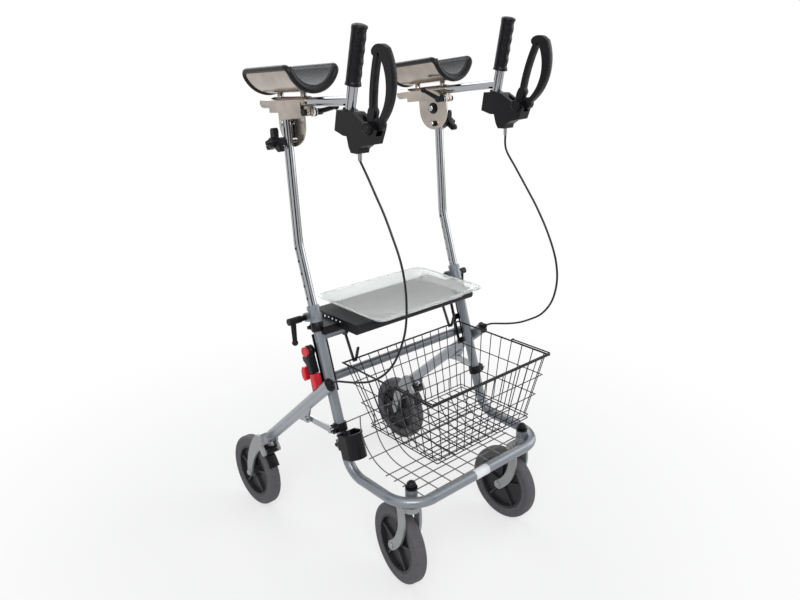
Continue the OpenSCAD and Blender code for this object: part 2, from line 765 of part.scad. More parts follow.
module arm_bracket(side) {
    color(CHROME) on_arm(side) difference() {
        union() {
            translate([0, -arm_tube_front, arm_tube_up]) rotate([-90, 0, 0])
                cylinder(h = arm_tube_front + arm_tube_back, d = arm_tube_d);
            translate([-saddle_w / 2, -saddle_front, arm_tube_up - saddle_h])
                cube([saddle_w, saddle_front + saddle_back, saddle_h]);
            side_plate(plate_out - plate_t, plate_out) {
                translate([0, plate_r - 15]) circle(plate_r, $fn = 96);
                translate([-plate_r, plate_r - 15])
                    square([2 * plate_r, arm_tube_up - saddle_h - plate_r + 16]);
            }
            side_plate(-bar_ear_w, bar_ear_w)
                slot_outline([-bar_bolt_ahead, arm_tube_up],
                             [-bar_bolt_ahead, arm_tube_up - bar_bolt_below], 16);
            for (y = [-post_spread, post_spread]) translate([0, y, arm_tube_up])
                cylinder(h = trough_r, d = post_d);
        }
        translate([0, -far, arm_tube_up]) rotate([-90, 0, 0])
            cylinder(h = far + arm_tube_back - 3, d = bar_bore_d);
        translate([0, -far / 2, trough_up]) rotate([-90, 0, 0])
            cylinder(h = far, r = trough_r + run_fit, $fn = 96);
        rod_x(-far, far, pivot_bolt_d + 2 * run_fit);
        side_plate(-far, far)
            curved_bar(turned([0, guide_pin_up], [0, 0], 20), turned([0, guide_pin_up], [0, 0], -20),
                       guide_pin_up * (1 - cos(20)), guide_pin_d + 2);
        translate([0, -bar_bolt_ahead, arm_tube_up - bar_bolt_below])
            rod_x(-far, far, clamp_bolt_d + 2 * run_fit);
        translate([-1, -far - bar_bolt_ahead + 12, 0]) cube([2, far, arm_tube_up]);
    }
}

module trough_ring(r_in, r_out, half_angle) {
    intersection() {
        difference() {
            circle(r_out, $fn = 96);
            circle(r_in, $fn = 96);
        }
        polygon([[0, 0], [far * sin(half_angle), -far * cos(half_angle)], [far, -far],
                 [-far, -far], [-far * sin(half_angle), -far * cos(half_angle)]]);
    }
}

// Extrudes a trough section along the forearm between two places
module along_trough(y0, y1) {
    translate([0, y1, trough_up]) rotate([90, 0, 0]) linear_extrude(y1 - y0) children();
}

module trough_shell(side) {
    reach = trough_l / 2 - trough_edge_l / 2;
    color(CHROME) on_arm(side) along_trough(-reach, reach)
        trough_ring(trough_r - trough_shell_t, trough_r, trough_half_angle - 4);
}

module trough_pad(side) {
    outer = trough_r - trough_shell_t - seam / 2;
    edge_r = trough_r - trough_shell_t / 2;
    end = trough_l / 2;
    color(BLACK) on_arm(side) difference() {
        union() {
            along_trough(-end + 1, end - 1) difference() {
                trough_ring(outer - pad_t - 2, outer, trough_half_angle - 4);
                translate([0, 2]) circle(outer - pad_t, $fn = 96);
            }
            along_trough(-end + 1, end - 1) for (s = [-1, 1]) rotate(s * trough_half_angle)
                translate([0, -edge_r]) circle(trough_bead_r);
            for (y = [-end, end - trough_edge_l]) along_trough(y, y + trough_edge_l)
                trough_ring(outer - pad_t + 2, trough_r + 3, trough_half_angle - 1);
        }
        reach = end - trough_edge_l / 2;
        along_trough(-reach - seam, reach + seam)
            trough_ring(trough_r - trough_shell_t - seam / 2, trough_r + seam / 2,
                        trough_half_angle - 4 + 0.1);
    }
}

// Handles: bar, post, grip and brake housing, set upright against the arm's tilt
handle_set = 5;
post_lean = 12.2;
handle_post_d = 22;
post_down = 44;
grip_up = 32;
function handle_reach(side) = side == RIGHT ? handle_reach_right : handle_reach_left;
module on_handle(side) {
    on_arm(side) translate([0, -handle_reach(side), arm_tube_up]) rotate([handle_set, 0, 0]) children();
}

module on_post(side) {
    on_handle(side) rotate([post_lean, 0, 0]) children();
}

handle_bar_l = 280;
housing_half = 16;
housing_low = [-25, -101];
ferrule_l = 16;
module handle_bar(side) {
    color(CHROME) {
        on_arm(side) translate([0, -handle_reach(side), arm_tube_up]) rotate([-90, 0, 0])
            cylinder(h = handle_bar_l, d = handle_bar_d);
        on_post(side) translate([0, 0, -post_down])
            cylinder(h = post_down + grip_up + grip_l - 6, d = handle_post_d);
        on_handle(side) translate([0, housing_low.x, housing_low.y - ferrule_l - seam])
            cylinder(h = ferrule_l, d = 9);
    }
}

grip_ribs = 9;
module grip(side) {
    rib_pitch = (grip_l - 16) / grip_ribs;
    color(BLACK) on_post(side) translate([0, 0, grip_up]) rotate_extrude() difference() {
        union() {
            square([grip_d / 2 - 1.5, grip_l - 2]);
            translate([0, 6]) for (k = [0 : grip_ribs - 1]) translate([0, k * rib_pitch])
                square([grip_d / 2 - (k % 2 == 0 ? 0 : 1), rib_pitch * 0.7]);
            square([grip_d / 2 + 0.5, 5]);
            translate([0, grip_l - 6]) square([grip_d / 2, 4]);
            translate([0, grip_l - 3]) square([grip_d / 2 - 4, 3]);
        }
        translate([-1, -1]) square([handle_post_d / 2 + 1 + run_fit, grip_l - 6 + 1]);
        translate([-far, -far / 2]) square(far);
    }
}

// Brake levers: closed loops that pivot between the housing's cheeks
lever_pivot = [-70, -47];
lever_forward = 12;
lever_t = 14;
lever_pin_d = 6;
lever_hub_d = 24;
module brake_housing(side) {
    color(BLACK) on_handle(side) difference() {
        union() {
            side_plate(-housing_half, housing_half)
                polygon([[30, -19], [-22, -20], [-58, -40], [-80, -35], [-90, -48], [-78, -78], [-53, -83],
                         [-38, -92], [-35, housing_low.y], [-15, housing_low.y], [-8, -90],
                         [-2, -69], [10, -69], [38, -61]]);
            translate([0, lever_pivot.x, lever_pivot.y]) rod_x(-housing_half - 3, housing_half + 3, 26);
            rotate([post_lean, 0, 0]) translate([0, 0, -34]) cylinder(h = 17, d = handle_post_d + 9);
        }
        difference() {
            union() {
                translate([0, lever_pivot.x, lever_pivot.y])
                    rod_x(-lever_t / 2 - face_gap, lever_t / 2 + face_gap, lever_hub_d + 4);
                side_plate(-lever_t / 2 - face_gap, lever_t / 2 + face_gap)
                    polygon([[lever_pivot.x + 28, lever_pivot.y - 4], [lever_pivot.x + 52, 0], [-far, 0],
                             [-far, lever_pivot.y - 24], [lever_pivot.x, lever_pivot.y - 14]]);
            }
            rotate([post_lean, 0, 0]) translate([0, 0, -far / 2]) cylinder(h = far, d = handle_post_d + 4);
            translate([0, lever_pivot.x, lever_pivot.y]) rod_x(-housing_half, housing_half, lever_pin_d);
        }
        rotate([post_lean, 0, 0]) translate([0, 0, -post_down - 1])
            cylinder(h = far, d = handle_post_d + 2 * run_fit);
    }
}

// The left lever stands further forward than the right one
function lever_rest(side) = side == RIGHT ? 0 : lever_forward;
module on_lever(side) {
    on_handle(side) translate([0, lever_pivot.x, lever_pivot.y]) rotate([lever_rest(side), 0, 0])
        translate([0, -lever_pivot.x, -lever_pivot.y]) children();
}

module brake_lever(side) {
    color(BLACK) on_lever(side) difference() {
        side_plate(-lever_t / 2, lever_t / 2) {
            curved_bar([-106, 96], [-86, -40], -27, 16, 7);
            curved_bar([-84, 90], [-70, -16], 4, 11);
            curved_bar([-80, 97], [-109, 96], -7, 16);
            curved_bar([-70, -16], lever_pivot, 3, 20);
            translate([-89, -38]) circle(13);
            translate(lever_pivot) circle(d = lever_hub_d);
        }
        translate([0, lever_pivot.x, lever_pivot.y]) rod_x(-far, far, lever_pin_d + 2 * run_fit);
    }
}

// Clamp levers that hold the handle bars, on the inboard side of the arm tubes
function bar_lever_turn(side) = side == RIGHT ? -80 : 60;
bar_lever_l = 52;
module bar_clamp_lever(side) {
    color(BLACK) on_arm(side) translate([0, -bar_bolt_ahead, arm_tube_up - bar_bolt_below]) {
        rod_x(-bar_ear_w - 4, bar_ear_w + 6, clamp_bolt_d);
        rod_x(bar_ear_w + face_gap, bar_ear_w + 7, 14);
        rod_x(-bar_ear_w - 26, -bar_ear_w - face_gap, 15);
        translate([-bar_ear_w - 19, 0, 0]) rotate([-bar_lever_turn(side), 0, 0]) rotate([0, -12, 0]) {
            cylinder(h = bar_lever_l, d1 = 12, d2 = 9);
            translate([0, 0, bar_lever_l]) sphere(d = 13);
        }
    }
}

// Wing knobs that lock the arms' tilt, on a bolt through stem and plate
knob_in_x = upright_x + stem_d / 2 + face_gap;
knob_wing_t = 13;
module tilt_knob(side) {
    color(BLACK) on_side(side) translate([0, arm_pivot_y, arm_pivot_z]) {
        rod_x(plate_out_x - plate_t - 9, knob_in_x + 2, pivot_bolt_d);
        rod_x(plate_out_x - plate_t - 7, plate_out_x - plate_t - face_gap, 14);
        rod_x(knob_in_x, knob_in_x + 16, 18);
        translate([knob_in_x + 34, 0, 0]) rotate([0, 90, 0]) cylinder(h = 12, d1 = 20, d2 = 9);
        rod_x(knob_in_x + 15, knob_in_x + 35, 22);
        for (k = [0 : 2]) rotate([120 * k, 0, 0]) side_plate(knob_in_x + 17, knob_in_x + 17 + knob_wing_t)
            slot_outline([0, 0], [0, 24], 14);
    }
}

// Wire rack: bent wires from a cross wire down to the hoop's front run
rack_z = 374;
rack_r = 100;
rack_wire_d = 4;
rack_cross_d = 5;
rack_low_z = hoop_z + 4;
rack_pitch = 62;
rack_wires = 6;
module wire_rack() {
    back_y = upright_y(rack_z) - (rack_cross_d + rack_wire_d) / 2 + 1.2;
    turn_y = back_y - rack_r;
    front_y = hoop_y + frame_tube_d / 2 - 1;
    span = rack_pitch * rack_wires / 2;
    color(SILVER) difference() {
        union() {
            for (k = [0 : rack_wires - 1]) translate([(k - (rack_wires - 1) / 2) * rack_pitch, 0, 0]) {
                translate([0, back_y, rack_low_z + rack_r - bend_lap])
                    cylinder(h = rack_z + 2 - rack_low_z - rack_r + bend_lap, d = rack_wire_d);
                translate([0, turn_y, rack_low_z + rack_r]) rotate([0, 90, 0])
                    rotate_extrude(angle = 90) translate([rack_r, 0])
                        circle(d = rack_wire_d + bend_swell / 2);
                translate([0, front_y, rack_low_z]) rotate([-90, 0, 0])
                    cylinder(h = turn_y + bend_lap - front_y, d = rack_wire_d);
            }
            translate([0, upright_y(rack_z), rack_z]) rod_x(-upright_x, upright_x, rack_cross_d);
            for (y = [turn_y - 12, turn_y - 66, front_y + 8])
                translate([0, y, rack_low_z - rack_wire_d + 1.2]) rod_x(-span, span, rack_wire_d);
        }
        pair() on_upright(LEFT, rack_z) cylinder(h = 60, d = frame_tube_d + 8 + 2 * seam, center = true);
        translate([0, hoop_y, hoop_z]) rod_x(-far, far, frame_tube_d + 2 * run_fit);
    }
}

// Cane cup: a D-shaped pot in front of the right upright, on a clamp band
cup_low_z = 300;
cup_h = 62;
cup_r = 25;
cup_wall = 2.5;
cup_ahead = frame_tube_d / 2 + cup_r + cup_wall + 1;
module cup_outline(grow) {
    translate([0, -cup_ahead]) circle(cup_r + grow);
    translate([-cup_r - grow, -cup_ahead]) square([2 * cup_r + 2 * grow, cup_r - 2 + grow]);
}

module cane_cup() {
    color(BLACK) on_upright(RIGHT, cup_low_z) difference() {
        union() {
            linear_extrude(cup_h) cup_outline(0);
            translate([0, 0, cup_h - 4]) linear_extrude(4) cup_outline(1.5);
            translate([0, 0, 18]) linear_extrude(22) {
                circle(d = frame_tube_d + 8);
                translate([-10, -frame_tube_d / 2 - 8]) square([20, 14]);
                translate([-7, 0]) square([14, frame_tube_d / 2 + 10]);
            }
            translate([0, frame_tube_d / 2 + 6, 29]) rod_x(-12, 12, 10);
        }
        translate([0, 0, 3]) linear_extrude(cup_h) cup_outline(-cup_wall);
        cylinder(h = far, d = frame_tube_d + 2 * run_fit, center = true);
    }
}

// Seat panel: a ribbed moulding with slotted ends, held by clamps on the uprights
seat_t = 24;
seat_ahead = 116;
seat_skin = 4;
seat_round = 12;
seat_rib_count = 5;
seat_slot_w = 9;
seat_slot_pitch = 15;
seat_slots = 7;
module seat_panel() {
    back = seat_l - seat_ahead;
    half = seat_w / 2;
    low = seat_z - seat_t;
    color(DARK) difference() {
        union() {
            difference() {
                side_plate(-half, half) {
                    slot_outline([-seat_ahead + seat_round, seat_z - seat_round],
                                 [back - seat_round, seat_z - seat_round], 2 * seat_round);
                }
                translate([-half + seat_skin, -seat_ahead + 10, low - 1])
                    cube([seat_w - 2 * seat_skin, seat_l - 20, seat_t - seat_skin + 1]);
            }
            for (k = [1 : seat_rib_count])
                translate([-half + k * seat_w / (seat_rib_count + 1) - 1.5, -seat_ahead + 8, low + 6])
                cube([3, seat_l - 16, seat_t - 6 - seat_skin / 2]);
        }
        for (s = [-1, 1], k = [0 : seat_slots - 1])
            translate([s * half - 8, -seat_ahead + 40 + k * seat_slot_pitch, seat_z - 15])
                cube([16, seat_slot_w, 8]);
    }
}

clamp_z = 606;
clamp_h = 22;
clamp_d = 30.6;
module seat_clamps() {
    seat_low = seat_z - seat_t;
    inner = seat_w / 2 - 22;
    color(BLACK) pair() difference() {
        union() {
            on_upright(LEFT, clamp_z) {
                translate([0, 0, -clamp_h / 2]) cylinder(h = clamp_h, d = clamp_d);
                translate([0, frame_tube_d / 2 + 2, 0]) rod_x(-9, 9, 16);
                translate([0, frame_tube_d / 2 + 9, 0]) rod_x(-13, 13, 9);
            }
            translate([seat_w / 2 + seam, upright_y(clamp_z) - 26, seat_low - 6])
                cube([upright_x - seat_w / 2 - seam, 46, 20]);
            translate([inner, upright_y(clamp_z) - 26, seat_low - seam - 3.5])
                cube([upright_x - inner - 4, 46, 3.5]);
        }
        on_upright(LEFT, clamp_z) cylinder(h = far / 4, d = frame_tube_d + 2 * run_fit, center = true);
        translate([0, upright_y(cross_tube_z), cross_tube_z]) rod_x(0, far, cross_tube_d + 2 * seam);
    }
}

// Tray: a clear pan with sloping sides and a flat rim, which lifts off the seat
tray_wall = 2.5;
tray_rim = 9;
tray_top_x = 169;
tray_top_y = [-163, 70];
tray_low_x = 148;
tray_low_y = [-138, 46];
module tray() {
    low = seat_z + seam;
    top = low + tray_h;
    in_y = [tray_wall, -tray_wall];
    color(CLEAR, 0.5) difference() {
        union() {
            tapered_block(tray_low_x, tray_top_x, tray_low_y, tray_top_y, low, top);
            translate([-tray_top_x - tray_rim, tray_top_y[0] - tray_rim, top - tray_wall])
                cube([2 * (tray_top_x + tray_rim), tray_top_y[1] - tray_top_y[0] + 2 * tray_rim, tray_wall]);
        }
        tapered_block(tray_low_x - tray_wall, tray_top_x - tray_wall + 1, tray_low_y + in_y,
                      tray_top_y + in_y + [-1, 1], low + tray_wall, top + 1);
    }
}

// Basket: wire floor, four wire walls and a bail lying on the front rim
basket_back_y = -60;
basket_front_y = basket_back_y - basket_l;
basket_low_z = basket_z - basket_h;
rim_x = basket_w / 2;
floor_x = rim_x - 40;
floor_y = [basket_front_y + 24, basket_back_y - 52];
wall_seam = 1.2;
wall_pitch = 26;
floor_pitch = 27;

// Wires from low to high points, spread evenly, with rails across them
module wire_wall(low_a, low_b, high_a, high_b, wires, rails) {
    inset = rim_wire_d;
    for (k = [0 : wires]) let (t = (k + 0.5) / (wires + 1))
        wire(low_a + (low_b - low_a) * t, high_a + (high_b - high_a) * t, wire_d);
    for (h = rails) wire(low_a + (high_a - low_a) * h, low_b + (high_b - low_b) * h, wire_d);
    wire(high_a, high_b, rim_wire_d);
}

module basket_walls() {
    g = rim_wire_d / 2 + wall_seam / 2;
    z0 = basket_low_z + wall_seam + wire_d;
    z1 = basket_z;
    rails = [0.02, 0.36, 0.68];
    across = floor(2 * floor_x / wall_pitch);
    along = floor((floor_y[1] - floor_y[0]) / wall_pitch);
    color(BLACK) {
        for (end = [[basket_front_y, floor_y[0]], [basket_back_y, floor_y[1]]])
            wire_wall([-floor_x + g, end[1], z0], [floor_x - g, end[1], z0],
                      [-rim_x + g, end[0], z1], [rim_x - g, end[0], z1], across, rails);
        for (s = [-1, 1])
            wire_wall([s * floor_x, floor_y[0], z0], [s * floor_x, floor_y[1], z0],
                      [s * rim_x, basket_front_y - rim_wire_d / 2, z1],
                      [s * rim_x, basket_back_y + rim_wire_d / 2, z1], along, rails);
    }
}

module basket_floor() {
    across = floor(2 * floor_x / floor_pitch);
    along = floor((floor_y[1] - floor_y[0]) / floor_pitch);
    z = basket_low_z;
    color(BLACK) {
        for (k = [0 : across]) let (x = -floor_x + 2 * floor_x * k / across)
            wire([x, floor_y[0], z], [x, floor_y[1], z], wire_d);
        for (k = [0 : along]) let (y = floor_y[0] + (floor_y[1] - floor_y[0]) * k / along)
            wire([-floor_x, y, z - wire_d / 2], [floor_x, y, z - wire_d / 2], wire_d);
    }
}

bail_wire_d = 5;
bail_back_y = -250;
bail_rise = rim_wire_d / 2 + bail_wire_d / 2 + 0.5;
module basket_bail() {
    x = rim_x;
    y = basket_front_y - 2;
    z = basket_z + bail_rise;
    color(BLACK) {
        wire([-x, bail_back_y, z], [-x, y, z], bail_wire_d);
        wire([x, bail_back_y, z], [x, y, z], bail_wire_d);
        wire([-x, y, z], [x, y, z], bail_wire_d);
        for (s = [-1, 1]) translate([s * x, bail_back_y, z]) rod_x(-4, 4, bail_wire_d + 0.6);
    }
}

// Basket hooks: flat rods from the seat's cross tube that carry the basket's rear rim
hook_x = seat_w / 2 - 27;
hook_t = 5;
module basket_hooks() {
    top = [upright_y(cross_tube_z), cross_tube_z];
    seat_at = [basket_back_y, basket_z];
    bottom = [seat_at.x, seat_at.y - rim_wire_d / 2 - hook_t / 2 - 0.4];
    tip = [seat_at.x - 16, seat_at.y + 34];
    color(BLACK) pair() side_plate(hook_x - hook_t / 2, hook_x + hook_t / 2) difference() {
        union() {
            slot_outline(top, bottom + [2, 0], hook_t);
            slot_outline(bottom + [2, 0], bottom + [-6, 4], hook_t);
            slot_outline(bottom + [-6, 4], tip, hook_t);
            translate(top) circle(d = cross_tube_d + 2 * hook_t);
        }
        translate(top) circle(d = cross_tube_d + 2 * seam);
        translate(seat_at) circle(d = rim_wire_d + 0.8);
    }
}

// Brake cables: from the brake housings down in a wide bow to the leg plugs, drawn for the left side
function arm_point(side, p) = let (t = arm_tilt(side))
    [arm_pivot_y + p.x * cos(t) + p.y * sin(t), arm_pivot_z - p.x * sin(t) + p.y * cos(t)];
function handle_point(side, p) =
    arm_point(side, turned(p, [0, 0], handle_set) + [-handle_reach(side), arm_tube_up]);
cable_gap = 2;
function cable_start(side) = let (p = handle_point(side, housing_low - [0, ferrule_l + cable_gap]))
    [arm_x, p.x, p.y];
plug_reach = leg_over + plug_l + cable_gap;
cable_end = [leg_x, upright_y(leg_cross_z) - plug_reach * cos(leg_slope),
             leg_cross_z + plug_reach * sin(leg_slope)];
BOW_RIGHT = [[215, -190, 980], [215, -215, 945], [215, -240, 910], [216, -265, 870], [217, -290, 825],
    [218, -305, 780], [220, -312, 730], [224, -312, 680], [230, -302, 635], [238, -285, 595],
    [246, -260, 565], [252, -225, 542], [257, -185, 527], [260, -150, 517], [262, -122, 509]];
BOW_LEFT = [[215, -190, 990], [215, -222, 950], [215, -255, 910], [216, -290, 865], [217, -325, 810],
    [218, -350, 755], [220, -358, 705], [224, -350, 660], [230, -332, 625], [238, -302, 592],
    [246, -265, 567], [252, -225, 545], [257, -185, 529], [260, -150, 518], [262, -122, 509]];
function cable_route(side) = concat([cable_start(side)], side == RIGHT ? BOW_RIGHT : BOW_LEFT, [cable_end]);
cable_sides = 8;

function unit(v) = v / norm(v);
function run_at(pts, k) = unit(pts[min(k + 1, len(pts) - 1)] - pts[max(k - 1, 0)]);
function ring_at(pts, k, r) = let (t = run_at(pts, k), a = unit(cross(t, [1, 0, 0.01])), b = cross(t, a))
    [for (j = [0 : cable_sides - 1])
        pts[k] + r * (cos(360 * j / cable_sides) * a + sin(360 * j / cable_sides) * b)];
// Points between two route points, on a smooth curve through their neighbours
function smooth_point(p, k, t) =
    let (last = len(p) - 1, a = p[max(k - 1, 0)], b = p[k], c = p[min(k + 1, last)], d = p[min(k + 2, last)])
    0.5 * (2 * b + (c - a) * t + (2 * a - 5 * b + 4 * c - d) * t * t + (3 * b - a - 3 * c + d) * t * t * t);
function smooth_route(p, steps) = concat(
    [for (k = [0 : len(p) - 2], j = [0 : steps - 1]) smooth_point(p, k, j / steps)], [p[len(p) - 1]]);

module cable_tube(route, d) {
    pts = smooth_route(route, 3);
    n = len(pts);
    m = cable_sides;
    rings = [for (k = [0 : n - 1]) each ring_at(pts, k, d / 2)];
    sides = [for (k = [0 : n - 2], j = [0 : m - 1]) let (a = k * m + j, b = k * m + (j + 1) % m)
        each [[a, b, b + m], [a, b + m, a + m]]];
    first_cap = [for (j = [1 : m - 2]) [0, j + 1, j]];
    last_cap = [for (j = [1 : m - 2]) let (e = (n - 1) * m) [e, e + j, e + j + 1]];
    polyhedron(points = rings, faces = concat(sides, first_cap, last_cap));
}

module brake_cable(side) {
    color(BLACK) on_side(side) cable_tube(cable_route(side), cable_d);
}

front_frame_tube();
seat_crossbar();
caster_caps();
height_collars();
fold_guides();
link_bushes();
wire_rack();
cane_cup();
seat_clamps();
basket_hooks();
seat_panel();
stem(RIGHT);  // stem_right
stem(LEFT);  // stem_left
arm_bracket(RIGHT);  // arm_bracket_right
arm_bracket(LEFT);  // arm_bracket_left
trough_shell(RIGHT);  // trough_shell_right
trough_shell(LEFT);  // trough_shell_left
trough_pad(RIGHT);  // trough_pad_right
trough_pad(LEFT);  // trough_pad_left
handle_bar(RIGHT);  // handle_bar_right
handle_bar(LEFT);  // handle_bar_left
grip(RIGHT);  // grip_right
grip(LEFT);  // grip_left
brake_housing(RIGHT);  // brake_housing_right
brake_housing(LEFT);  // brake_housing_left
brake_lever(RIGHT);  // brake_lever_right
brake_lever(LEFT);  // brake_lever_left
bar_clamp_lever(RIGHT);  // bar_clamp_lever_right
bar_clamp_lever(LEFT);  // bar_clamp_lever_left
tilt_knob(RIGHT);  // tilt_knob_right
tilt_knob(LEFT);  // tilt_knob_left
height_lever(RIGHT);  // height_lever_right
height_lever(LEFT);  // height_lever_left
caster_fork(RIGHT);  // caster_fork_right
caster_fork(LEFT);  // caster_fork_left
front_hub(RIGHT);  // front_hub_right
front_hub(LEFT);  // front_hub_left
front_tyre(RIGHT);  // front_tyre_right
front_tyre(LEFT);  // front_tyre_left
fold_links();
rear_legs();
rear_crossbar();
rear_forks();
leg_caps();
latch_body();
latch_lever();
latch_button();
rear_hub(RIGHT);  // rear_hub_right
rear_hub(LEFT);  // rear_hub_left
rear_tyre(RIGHT);  // rear_tyre_right
rear_tyre(LEFT);  // rear_tyre_left
brake_shoe(RIGHT);  // brake_shoe_right
brake_shoe(LEFT);  // brake_shoe_left
tray();
basket_floor();
basket_walls();
basket_bail();
brake_cable(RIGHT);  // brake_cable_right
brake_cable(LEFT);  // brake_cable_left
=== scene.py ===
"""Looks for an upright walker with forearm supports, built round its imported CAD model.

The file is laid out as an add-on: property groups hold sizes and colours, each operator makes
one group of pieces, and main() runs them in order.
"""

import json
import math
from collections import namedtuple

import bmesh
import bpy
from bpy.props import FloatProperty, FloatVectorProperty, IntProperty, PointerProperty
from mathutils import Matrix, Vector


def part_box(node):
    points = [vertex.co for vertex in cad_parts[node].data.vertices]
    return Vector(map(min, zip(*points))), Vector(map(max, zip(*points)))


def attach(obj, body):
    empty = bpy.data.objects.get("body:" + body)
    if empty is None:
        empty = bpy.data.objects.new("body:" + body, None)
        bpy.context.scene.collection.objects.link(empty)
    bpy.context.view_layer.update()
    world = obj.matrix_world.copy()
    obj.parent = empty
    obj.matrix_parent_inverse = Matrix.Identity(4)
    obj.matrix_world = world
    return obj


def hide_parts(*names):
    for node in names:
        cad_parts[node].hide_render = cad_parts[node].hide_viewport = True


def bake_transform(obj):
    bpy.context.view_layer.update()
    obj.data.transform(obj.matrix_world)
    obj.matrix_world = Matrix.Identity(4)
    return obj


bl_info = {
    "name": "Upright walker looks",
    "version": (1, 0, 0),
    "blender": (4, 5, 0),
    "location": "3D View > Sidebar > Walker",
    "description": "Finishes and soft pieces for a forearm-support walker",
    "category": "Object",
}

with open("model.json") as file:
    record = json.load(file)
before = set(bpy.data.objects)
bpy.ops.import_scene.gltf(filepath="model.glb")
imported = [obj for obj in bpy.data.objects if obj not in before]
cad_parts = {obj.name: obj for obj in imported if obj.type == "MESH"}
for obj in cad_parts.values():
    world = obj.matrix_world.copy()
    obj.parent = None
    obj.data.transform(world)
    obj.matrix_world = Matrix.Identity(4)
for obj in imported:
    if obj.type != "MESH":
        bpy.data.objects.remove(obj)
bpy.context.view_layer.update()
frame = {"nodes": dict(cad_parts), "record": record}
NODES = frame["nodes"]
SIDES = {"right": -1, "left": 1}
MM = 0.001


def linear(hexa):
    """Linear RGBA of an sRGB hex colour."""
    channels = [int(hexa[i:i + 2], 16) / 255 for i in (0, 2, 4)]
    return tuple(c / 12.92 if c <= 0.04045 else ((c + 0.055) / 1.055) ** 2.4 for c in channels) + (1.0,)


def colour(name, hexa):
    """A colour property with that default."""
    return FloatVectorProperty(name=name, description=name + " colour", subtype="COLOR", size=4,
                               min=0, max=1, default=linear(hexa))


def length(name, millimetres):
    """A length property with that default, given in millimetres."""
    return FloatProperty(name=name, description=name + " in metres", subtype="DISTANCE", unit="LENGTH",
                         default=millimetres * MM, min=0)


def angle(name, description, degrees):
    """An angle property with that default, given in degrees."""
    return FloatProperty(name=name, description=description, subtype="ANGLE", default=math.radians(degrees))


class WalkerColours(bpy.types.PropertyGroup):
    """Colours of the finishes."""
    frame_silver: colour("Frame paint", "83888f")
    leg_silver: colour("Leg profile", "a2a6ab")
    chrome: colour("Chrome", "a4a6a9")
    nickel: colour("Nickel plate", "a89f97")
    casting: colour("Castings", "9a9c9e")
    black: colour("Black mouldings", "0b0b0f")
    seat: colour("Seat panel", "17181b")
    wire: colour("Basket wire", "0c0c11")
    rack: colour("Rack wire", "6c6965")
    pad: colour("Trough pad", "2b2c31")
    rim: colour("Pad rim", "0c0c10")
    hub: colour("Wheel hub", "29292c")
    tyre: colour("Tyre", "555357")
    red: colour("Latch", "c3182a")
    clear: colour("Tray", "eef2f0")
    label: colour("Bare label", "e4e6e8")
    white: colour("White washers", "dcdcd8")


class WalkerSizes(bpy.types.PropertyGroup):
    """Sizes of the pieces made here. They repeat the CAD model's named values."""
    arm_x: length("Arm distance from the middle", 215)
    pivot_y: length("Tilt pivot behind the origin", 61.646)
    pivot_z: length("Tilt pivot height", 1031)
    tube_up: length("Arm tube above the pivot", 82)
    reach_right: length("Right handle ahead of the pivot", 212)
    reach_left: length("Left handle ahead of the pivot", 230)
    trough_r: length("Trough outer radius", 67)
    trough_up: length("Trough axis above the pivot", 169.5)
    trough_l: length("Trough length", 192)
    shell_t: length("Trough shell thickness", 2.5)
    pad_t: length("Pad thickness", 10)
    rim_r: length("Radius of the pad's rim", 6.5)
    trough_half: angle("Trough half angle", "Half of the angle that the trough spans", 76)
    grip_l: length("Grip length", 114)
    grip_d: length("Grip diameter", 33)
    grip_up: length("Grip above the handle bar", 32)
    cable_d: length("Cable diameter", 5)
    tray_wall: length("Tray wall", 2.5)
    tray_rim: length("Tray flange width", 9)
    tray_slope: length("Lean of the tray's walls", 28)
    tray_corner: length("Corner radius of the tray's floor", 20)
    rack_bend: length("Bend radius of the rack's wires", 100)
    rack_wire: length("Radius of the rack's wires", 1.5)
    rack_half: length("Half width of the rack", 176)
    stem_x: length("Stem distance from the middle", 236)
    stem_d: length("Stem diameter", 22)
    guide_up: length("Guide pin above the pivot", 39)
    plate_x: length("Inner face of the slotted plate", 218.1)
    tilt_right: angle("Right tilt", "Nose-up tilt", 4)
    tilt_left: angle("Left tilt", "Nose-up tilt", 7)
    handle_set: angle("Handle set", "Handle turned against the tilt", 5)
    post_lean: angle("Post lean", "Forward lean of the grips", 12.2)
    rack_count: IntProperty(name="Rack wires", description="Long wires of the rack", default=9, min=2)
    grip_waves: IntProperty(name="Finger waves", description="Finger waves on each grip", default=4, min=1)


# Materials

# A noise pattern: feature size in millimetres, detail, stretch along each axis, and turn about X
Grain = namedtuple("Grain", "size detail stretch turn", defaults=(4.0, (1.0, 1.0, 1.0), 0.0))

# Most of a noise's values lie between these
NOISE_LOW, NOISE_HIGH = 0.3, 0.7


def add(tree, kind, inputs=None, **settings):
    """Adds one node: settings are its options, inputs its socket values or the outputs linked to them."""
    node = tree.nodes.new(kind)
    for name, value in settings.items():
        setattr(node, name, value)
    for name, value in (inputs or {}).items():
        if isinstance(value, bpy.types.NodeSocket):
            tree.links.new(value, node.inputs[name])
        else:
            node.inputs[name].default_value = value
    return node


def shade(base, factor):
    """The same colour, lighter or darker."""
    return tuple(min(1.0, c * factor) for c in base[:3]) + (1.0,)


